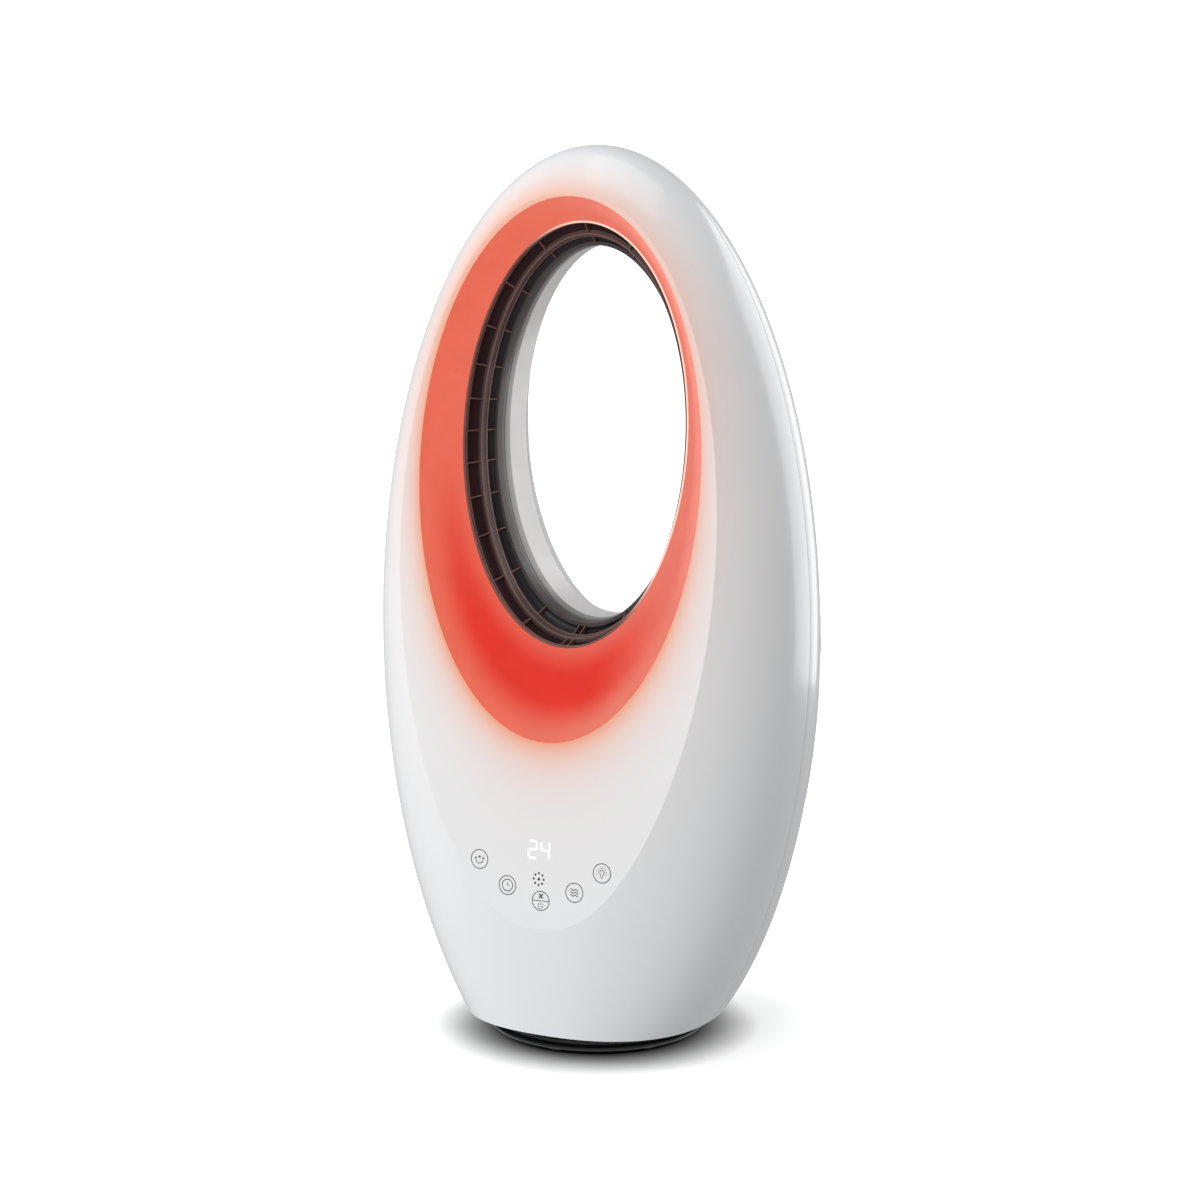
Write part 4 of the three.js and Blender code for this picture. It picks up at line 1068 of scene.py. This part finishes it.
def outlet_grille():
    """The rim, the ledge and the band, the ribs between them and a channel behind each row."""
    rim = hoop("outlet_rim_hoop", 0.0, RIM_HOOP, HOOP_WALL)
    dress(rim, "body", "grille_brown", rib_brown, ["outlet_grille"])
    ledge = hoop("outlet_ledge", ROW_1, LEDGE, LEDGE_WALL)
    beads = [hoop("ledge_bead", at, at + 0.014, 1 * MM, -0.5 * MM) for at in (ROW_1, LEDGE - 0.03)]
    dress(ledge, "body", "grille_brown", None, ["outlet_grille"])
    dress(merged("ledge_beads", beads), "body", "grille_brown", rib_brown, ["outlet_grille"])
    band = hoop("outlet_band", ROW_2, BAND, HOOP_WALL)
    step = hoop("band_step", ROW_2, ROW_2 + 0.02, 1 * MM, -0.4 * MM)
    band = merged("outlet_band", [band, step])
    dress(band, "body", "grille_brown", band_grey, ["outlet_grille"])
    ribs = [rib(2 * pi * k / RIB_COUNT) for k in range(RIB_COUNT)]
    ribs.append(rib(3 / 2 * pi - TWIN_RIB_LEAN))
    ribs = merged("outlet_ribs", ribs)
    smooth(ribs)
    dress(ribs, "body", "grille_brown", rib_brown, ["outlet_grille"])

    # The channels' dark finishes are painted shade of the air gaps behind the rows.
    for name, corners, finish in (("outlet_channel_front", FRONT_CHANNEL, shaded_cell_brown),
                                  ("outlet_channel_rear", REAR_CHANNEL, shaded_cell_black)):
        wall = ring_of(name, lambda turn: [tunnel(turn, *corner) for corner in corners])
        smooth(wall, 50)
        dress(wall, "body", "grille_brown", finish, ["outlet_grille"])


def rim_bead():
    """The thin edge where the light ring meets the outlet, with painted light making it pale towards
    the right and the top.
    """
    def section(turn):
        middle = bowl(turn, 0.992, 0.2 * MM)
        x, y, z = middle
        outward = Vector((x / RIM_A ** 2, 0, (z - RIM_Z) / RIM_B ** 2)).normalized()
        ring = []
        for k in range(8):
            angle = 2 * pi * k / 8
            away = outward * (BEAD_RADIUS * cos(angle)) + Vector((0, BEAD_RADIUS * sin(angle), 0))
            ring.append(tuple(Vector(middle) + away))
        return ring

    bead = ring_of("rim_bead", section)
    smooth(bead, 60)
    dress(bead, "body", "grille_brown", bead_finish(), ["outlet_grille"])


def throat_ring():
    def section(turn):
        start = BAND + 0.004
        inner = [tunnel(turn, start + (1 - start) * k / 12) for k in range(13)]
        return [*inner, tunnel(turn, 1.0, 2 * MM), tunnel(turn, start, 2 * MM)]

    ring = ring_of("throat_liner", section)
    round_edges(ring, 0.5 * MM, 3, sharp(50))
    smooth(ring)
    dress(ring, "body", "throat_grey", None, ["throat_ring"])


light_diffuser()
outlet_grille()
rim_bead()
throat_ring()


# ---------------------------------------------------------------- base
def base_disc():
    low, ledge = BASE_LOW, BASE_HEIGHT / 3
    radius = BASE_RADIUS
    inner = radius - 2 * BASE_STEP_WIDTH - BASE_WALL
    step = 0.6 * MM
    profile = [
        (0, low), (radius - 3 * MM, low), (radius - 1.2 * MM, low + 0.5 * MM),
        (radius - 0.3 * MM, low + 1.4 * MM), (radius, low + 2.4 * MM),
        (radius, low + ledge - step), (radius - step, low + ledge),
    ]
    for k in (1, 2):
        edge = radius - k * BASE_STEP_WIDTH
        foot = low + k * ledge
        profile += [
            (edge + step, foot), (edge, foot + step),
            (edge, foot + ledge - step), (edge - step, foot + ledge),
        ]
    profile += [
        (inner, low + BASE_HEIGHT), (inner, low + BASE_WALL), (0, low + BASE_WALL),
    ]
    disc = turned("base_disc", profile)
    smooth(disc, 25)
    dress(disc, "base", "base_black", None, ["base_plate"])


def feet():
    """One rubber foot turned, and the others copied to their places."""
    profile = [
        (0, 0), (FOOT_RADIUS - 1.6 * MM, 0), (FOOT_RADIUS - 0.7 * MM, 0.4 * MM),
        (FOOT_RADIUS, 1.2 * MM), (FOOT_RADIUS, FOOT_HEIGHT), (0, FOOT_HEIGHT),
    ]
    pattern = turned("rubber_foot", profile, 48)
    smooth(pattern, 40)
    for k in range(1, 7):
        low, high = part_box(f"rubber_foot_{k}")
        foot = pattern.copy()
        foot.data = pattern.data.copy()
        foot.name = f"soft_foot_{k}"
        foot.data.transform(Matrix.Translation(((low.x + high.x) / 2, (low.y + high.y) / 2, 0)))
        bpy.context.scene.collection.objects.link(foot)
        dress(foot, "base", "rubber_black", None, [f"rubber_foot_{k}"])
    bpy.data.objects.remove(pattern)


base_disc()
feet()


# ---------------------------------------------------------------- touch symbols and display
# The drawings are in millimetres on the plate
SYMBOL_RADIUS = 6.3
INK_PROUD = 0.06
FIGURE_PROUD = 0.08
FIGURE_HALF_WIDTH = 2.9
FIGURE_HALF_HEIGHT = 5.6
FIGURE_SPACING = 9.2
SEGMENTS = {"2": "abged", "4": "fgbc"}


def on_plate(x, z):
    """Takes a flat drawing, u across and v up, to its place on the front plate."""
    up = Vector((0, PLATE_LEAN, 1)).normalized()
    out = Vector((0, -1, PLATE_LEAN)).normalized()
    grid = Matrix((Vector((1, 0, 0)), up, out)).transposed().to_4x4()
    return Matrix.Translation((x, plate_y(z), z)) @ grid


def arc(u, v, radius, start, end, count=24):
    return [(u + radius * cos(radians(start + (end - start) * k / count)),
             v + radius * sin(radians(start + (end - start) * k / count)))
            for k in range(count + 1)]


def drawn(name, lines, x, z, proud=INK_PROUD):
    """Lines of (points, width, closed), drawn as thin strokes on the plate."""
    start_clean()
    curve = bpy.data.curves.new(name, "CURVE")
    curve.dimensions = "3D"
    curve.bevel_resolution = 1
    curve.bevel_depth = 0.5 * MM
    curve.use_fill_caps = True
    for points, width, closed in lines:
        spline = curve.splines.new("POLY")
        spline.points.add(len(points) - 1)
        spline.use_cyclic_u = closed
        for knot, (u, v) in zip(spline.points, points):
            knot.co = (u * MM, v * MM, 0, 1)
            knot.radius = width
    piece = bpy.data.objects.new(name, curve)
    bpy.context.scene.collection.objects.link(piece)
    only(piece)
    bpy.ops.object.convert(target="MESH")
    piece = named(name)
    top = max(v.co.z for v in piece.data.vertices)
    flat = Matrix.Scale(proud * MM / top, 4, (0, 0, 1))
    piece.data.transform(on_plate(x * MM, z * MM) @ flat)
    return piece


def ring_line(radius, width=0.6):
    return (arc(0, 0, radius, 0, 360, 48)[:-1], width, True)


def dot(u, v, radius):
    return (arc(u, v, radius / 2, 0, 360, 12)[:-1], radius, True)


def swing_symbol():
    return [
        ring_line(SYMBOL_RADIUS), dot(0, 1.6, 0.85), (arc(0, 0.2, 2.9, 195, 345), 0.6, False),
        dot(-2.85, 0.7, 0.75), dot(2.85, 0.7, 0.75),
    ]


def timer_symbol():
    return [ring_line(SYMBOL_RADIUS), ring_line(3.9), ([(0, 2.1), (0, 0), (1.5, 0)], 0.5, False)]


def power_symbol():
    lines = [ring_line(SYMBOL_RADIUS), ([(-SYMBOL_RADIUS, 0), (SYMBOL_RADIUS, 0)], 0.5, False)]
    for k in range(4):
        turn = radians(20 + 90 * k)
        blade = [(1.7 * s * cos(turn + 0.5 * s), 3.2 + 1.7 * s * sin(turn + 0.5 * s))
                 for s in (0.15, 0.5, 0.85, 1.15)]
        lines.append((blade, 1.0, False))
    lines.append((arc(0, -3.2, 1.7, 125, 415), 0.45, False))
    lines.append(([(0, -1.3), (0, -3.0)], 0.45, False))
    return lines


def mode_symbol():
    lines = [ring_line(SYMBOL_RADIUS)]
    for v in (-1.9, 0.0, 1.9):
        wave = [(u / 4, v + 0.45 * sin(u / 4 * 1.9)) for u in range(-12, 13)]
        lines.append((wave, 0.6, False))
    return lines


def light_symbol():
    lines = [ring_line(SYMBOL_RADIUS), (arc(0, 0.5, 1.6, -55, 235), 0.5, False),
             ([(-0.9, -0.9), (-0.7, -2.4), (0.7, -2.4), (0.9, -0.9)], 0.45, False),
             ([(-0.5, -3.2), (0.5, -3.2)], 0.45, False)]
    for angle in range(-20, 201, 27):
        turn = radians(angle)
        lines.append(([(r * cos(turn), 0.5 + r * sin(turn)) for r in (2.7, 3.7)], 0.4, False))
    return lines


def speed_dots():
    lines = [dot(0, 0, 1.0)]
    for k in range(8):
        turn = radians(90 + 45 * k)
        lines.append(dot(3.7 * cos(turn), 3.9 * sin(turn), 0.8))
    return lines


def digit_lines(figure, u):
    """The lit bars of one seven-segment figure, its middle at u."""
    w, h, g = FIGURE_HALF_WIDTH, FIGURE_HALF_HEIGHT, 0.55
    bars = {
        "a": ((-w + g, h), (w - g, h)), "b": ((w, h - g), (w, g)), "c": ((w, -g), (w, -h + g)),
        "d": ((-w + g, -h), (w - g, -h)), "e": ((-w, -g), (-w, -h + g)),
        "f": ((-w, h - g), (-w, g)), "g": ((-w + g, 0), (w - g, 0)),
    }
    return [([(u + p[0], p[1]) for p in bars[s]], 1.25, False) for s in SEGMENTS[figure]]


def front_marks():
    """The five touch symbols, the dots and the display, each at its x and z."""
    symbols = (
        ("swing_symbol", swing_symbol(), -45.3, 130.2), ("timer_symbol", timer_symbol(), -23.4, 115.3),
        ("power_symbol", power_symbol(), 1.9, 107.8), ("mode_symbol", mode_symbol(), 26.4, 116.0),
        ("light_symbol", light_symbol(), 45.9, 130.9), ("speed_dots", speed_dots(), -0.2, 121.9),
    )
    for name, lines, x, z in symbols:
        dress(drawn(name, lines, x, z), "body", "base_black", symbol_ink)
    figures = digit_lines("2", -FIGURE_SPACING / 2) + digit_lines("4", FIGURE_SPACING / 2)
    display = drawn("display_figures", figures, -0.9, 141.0, FIGURE_PROUD)
    dress(display, "body", "white_shell", figure_light())


front_marks()


# ---------------------------------------------------------------- room
SHADE_START = 67 * MM  # the painted contact shadow round the base darkens the floor between these radii
SHADE_END = 113 * MM


def laid_ring(name, rings):
    """A disc or bowl about the upright axis from (radius, height) rings, out from its middle."""
    start_clean()
    bpy.ops.mesh.primitive_circle_add(
        vertices=96, radius=rings[0][0], fill_type="NGON", location=(0, 0, rings[0][1])
    )
    piece = named(name)
    bpy.ops.object.transform_apply(location=True, rotation=True, scale=True)
    bpy.ops.object.mode_set(mode="EDIT")
    bpy.ops.mesh.select_mode(type="EDGE")
    bpy.ops.mesh.select_all(action="SELECT")
    bpy.ops.mesh.region_to_loop()
    for (radius, z), (wider, higher) in zip(rings, rings[1:]):
        bpy.ops.mesh.extrude_edges_move(TRANSFORM_OT_translate={"value": (0, 0, higher - z)})
        bpy.ops.transform.resize(value=(wider / radius, wider / radius, 1), center_override=(0, 0, 0))
    bpy.ops.mesh.select_mode(type="VERT")
    bpy.ops.mesh.select_all(action="SELECT")
    bpy.ops.mesh.normals_make_consistent(inside=False)
    bpy.ops.object.mode_set(mode="OBJECT")
    bpy.ops.object.shade_smooth()
    return piece


def seen_only_directly(piece):
    """Keeps the pale room out of the object's own light, so that the softboxes shape it."""
    piece.visible_diffuse = False
    piece.visible_glossy = False


def pale_floor():
    """Matt white with a painted contact shadow: it darkens close to the base, as under a low object in
    soft light.
    """
    material, tree, shader = node_tree("pale_floor")
    drift = spread(tree, noise(tree, 3.0), 0.3, 0.7)
    pale = blend_colours(tree, drift, (0.84, 0.84, 0.84), (0.86, 0.86, 0.86))
    x, y, _ = axes(tree)
    squares = calc(tree, "ADD", calc(tree, "POWER", x, 2.0), calc(tree, "POWER", y, 2.0))
    out = calc(tree, "SQRT", squares)
    # Painted contact shadow: the floor is near black at the base's edge and pale from SHADE_END out.
    clear_of_painted_shadow = spread(tree, out, SHADE_START, SHADE_END, 0.0, 1.0, "LINEAR")
    wire(tree, blend_colours(tree, clear_of_painted_shadow, (0.01, 0.01, 0.01), pale), shader.inputs["Base Color"])
    shader.inputs["Roughness"].default_value = 0.9
    shader.inputs["Specular IOR Level"].default_value = 0.0
    shader.inputs["Emission Color"].default_value = (1, 1, 1, 1)
    # The emission is part of the painted shadow: weak near the base, rising outwards to keep the far
    # floor white.
    near = calc(tree, "MULTIPLY", clear_of_painted_shadow, 0.35)
    wide = spread(tree, out, SHADE_END, 0.25, 0.0, 0.5)
    wire(tree, calc(tree, "ADD", near, wide), shader.inputs["Emission Strength"])
    return material


def white_backdrop():
    material, tree, shader = node_tree("white_backdrop")
    shader.inputs["Base Color"].default_value = (0.9, 0.9, 0.9, 1)
    shader.inputs["Roughness"].default_value = 1.0
    shader.inputs["Emission Color"].default_value = (1, 1, 1, 1)
    uneven = spread(tree, noise(tree, 2.0), 0.3, 0.7, 1.0, 1.02)
    wire(tree, uneven, shader.inputs["Emission Strength"])
    return material


def studio():
    floor = laid_ring("floor", [(0.3, 0), (0.8, 0), (1.5, 0)])
    bowl_rings = [(2.4, -0.01), (3.2, 0.02), (3.6, 0.2), (3.9, 0.8), (4.0, 2.6)]
    backdrop = laid_ring("backdrop", bowl_rings)
    backdrop.visible_shadow = False
    for piece, material in ((floor, pale_floor()), (backdrop, white_backdrop())):
        piece.data.materials.append(material)
        seen_only_directly(piece)

    world = bpy.data.worlds.new("room")
    world.use_nodes = True
    sky = world.node_tree.nodes["Background"]
    sky.inputs["Color"].default_value = (0.985, 0.99, 1.0, 1)
    sky.inputs["Strength"].default_value = 0.45
    bpy.context.scene.world = world


def softbox(name, turn, distance, height, size, power, in_gloss=True):
    """A rectangular light round the object: turn in degrees, 0 in front and growing to the right."""
    light = bpy.data.lights.new(name, "AREA")
    light.shape = "RECTANGLE"
    light.size, light.size_y = size
    light.energy = power
    lamp = bpy.data.objects.new(name, light)
    place = Vector((distance * sin(radians(turn)), -distance * cos(radians(turn)), height))
    lamp.location = place
    lamp.rotation_euler = (Vector((0, 0, 0.32)) - place).to_track_quat("-Z", "Y").to_euler()
    lamp.visible_glossy = in_gloss
    bpy.context.scene.collection.objects.link(lamp)


studio()
softbox("front_key", turn=-10, distance=2.4, height=0.9, size=(1.8, 1.8), power=33, in_gloss=False)
softbox("left_fill", turn=-75, distance=2.0, height=0.6, size=(1.0, 1.6), power=19, in_gloss=False)
softbox("back_right_rim", turn=148, distance=1.9, height=0.7, size=(1.6, 1.8), power=17)
softbox("overhead", turn=0, distance=0.2, height=2.2, size=(1.4, 1.4), power=8)
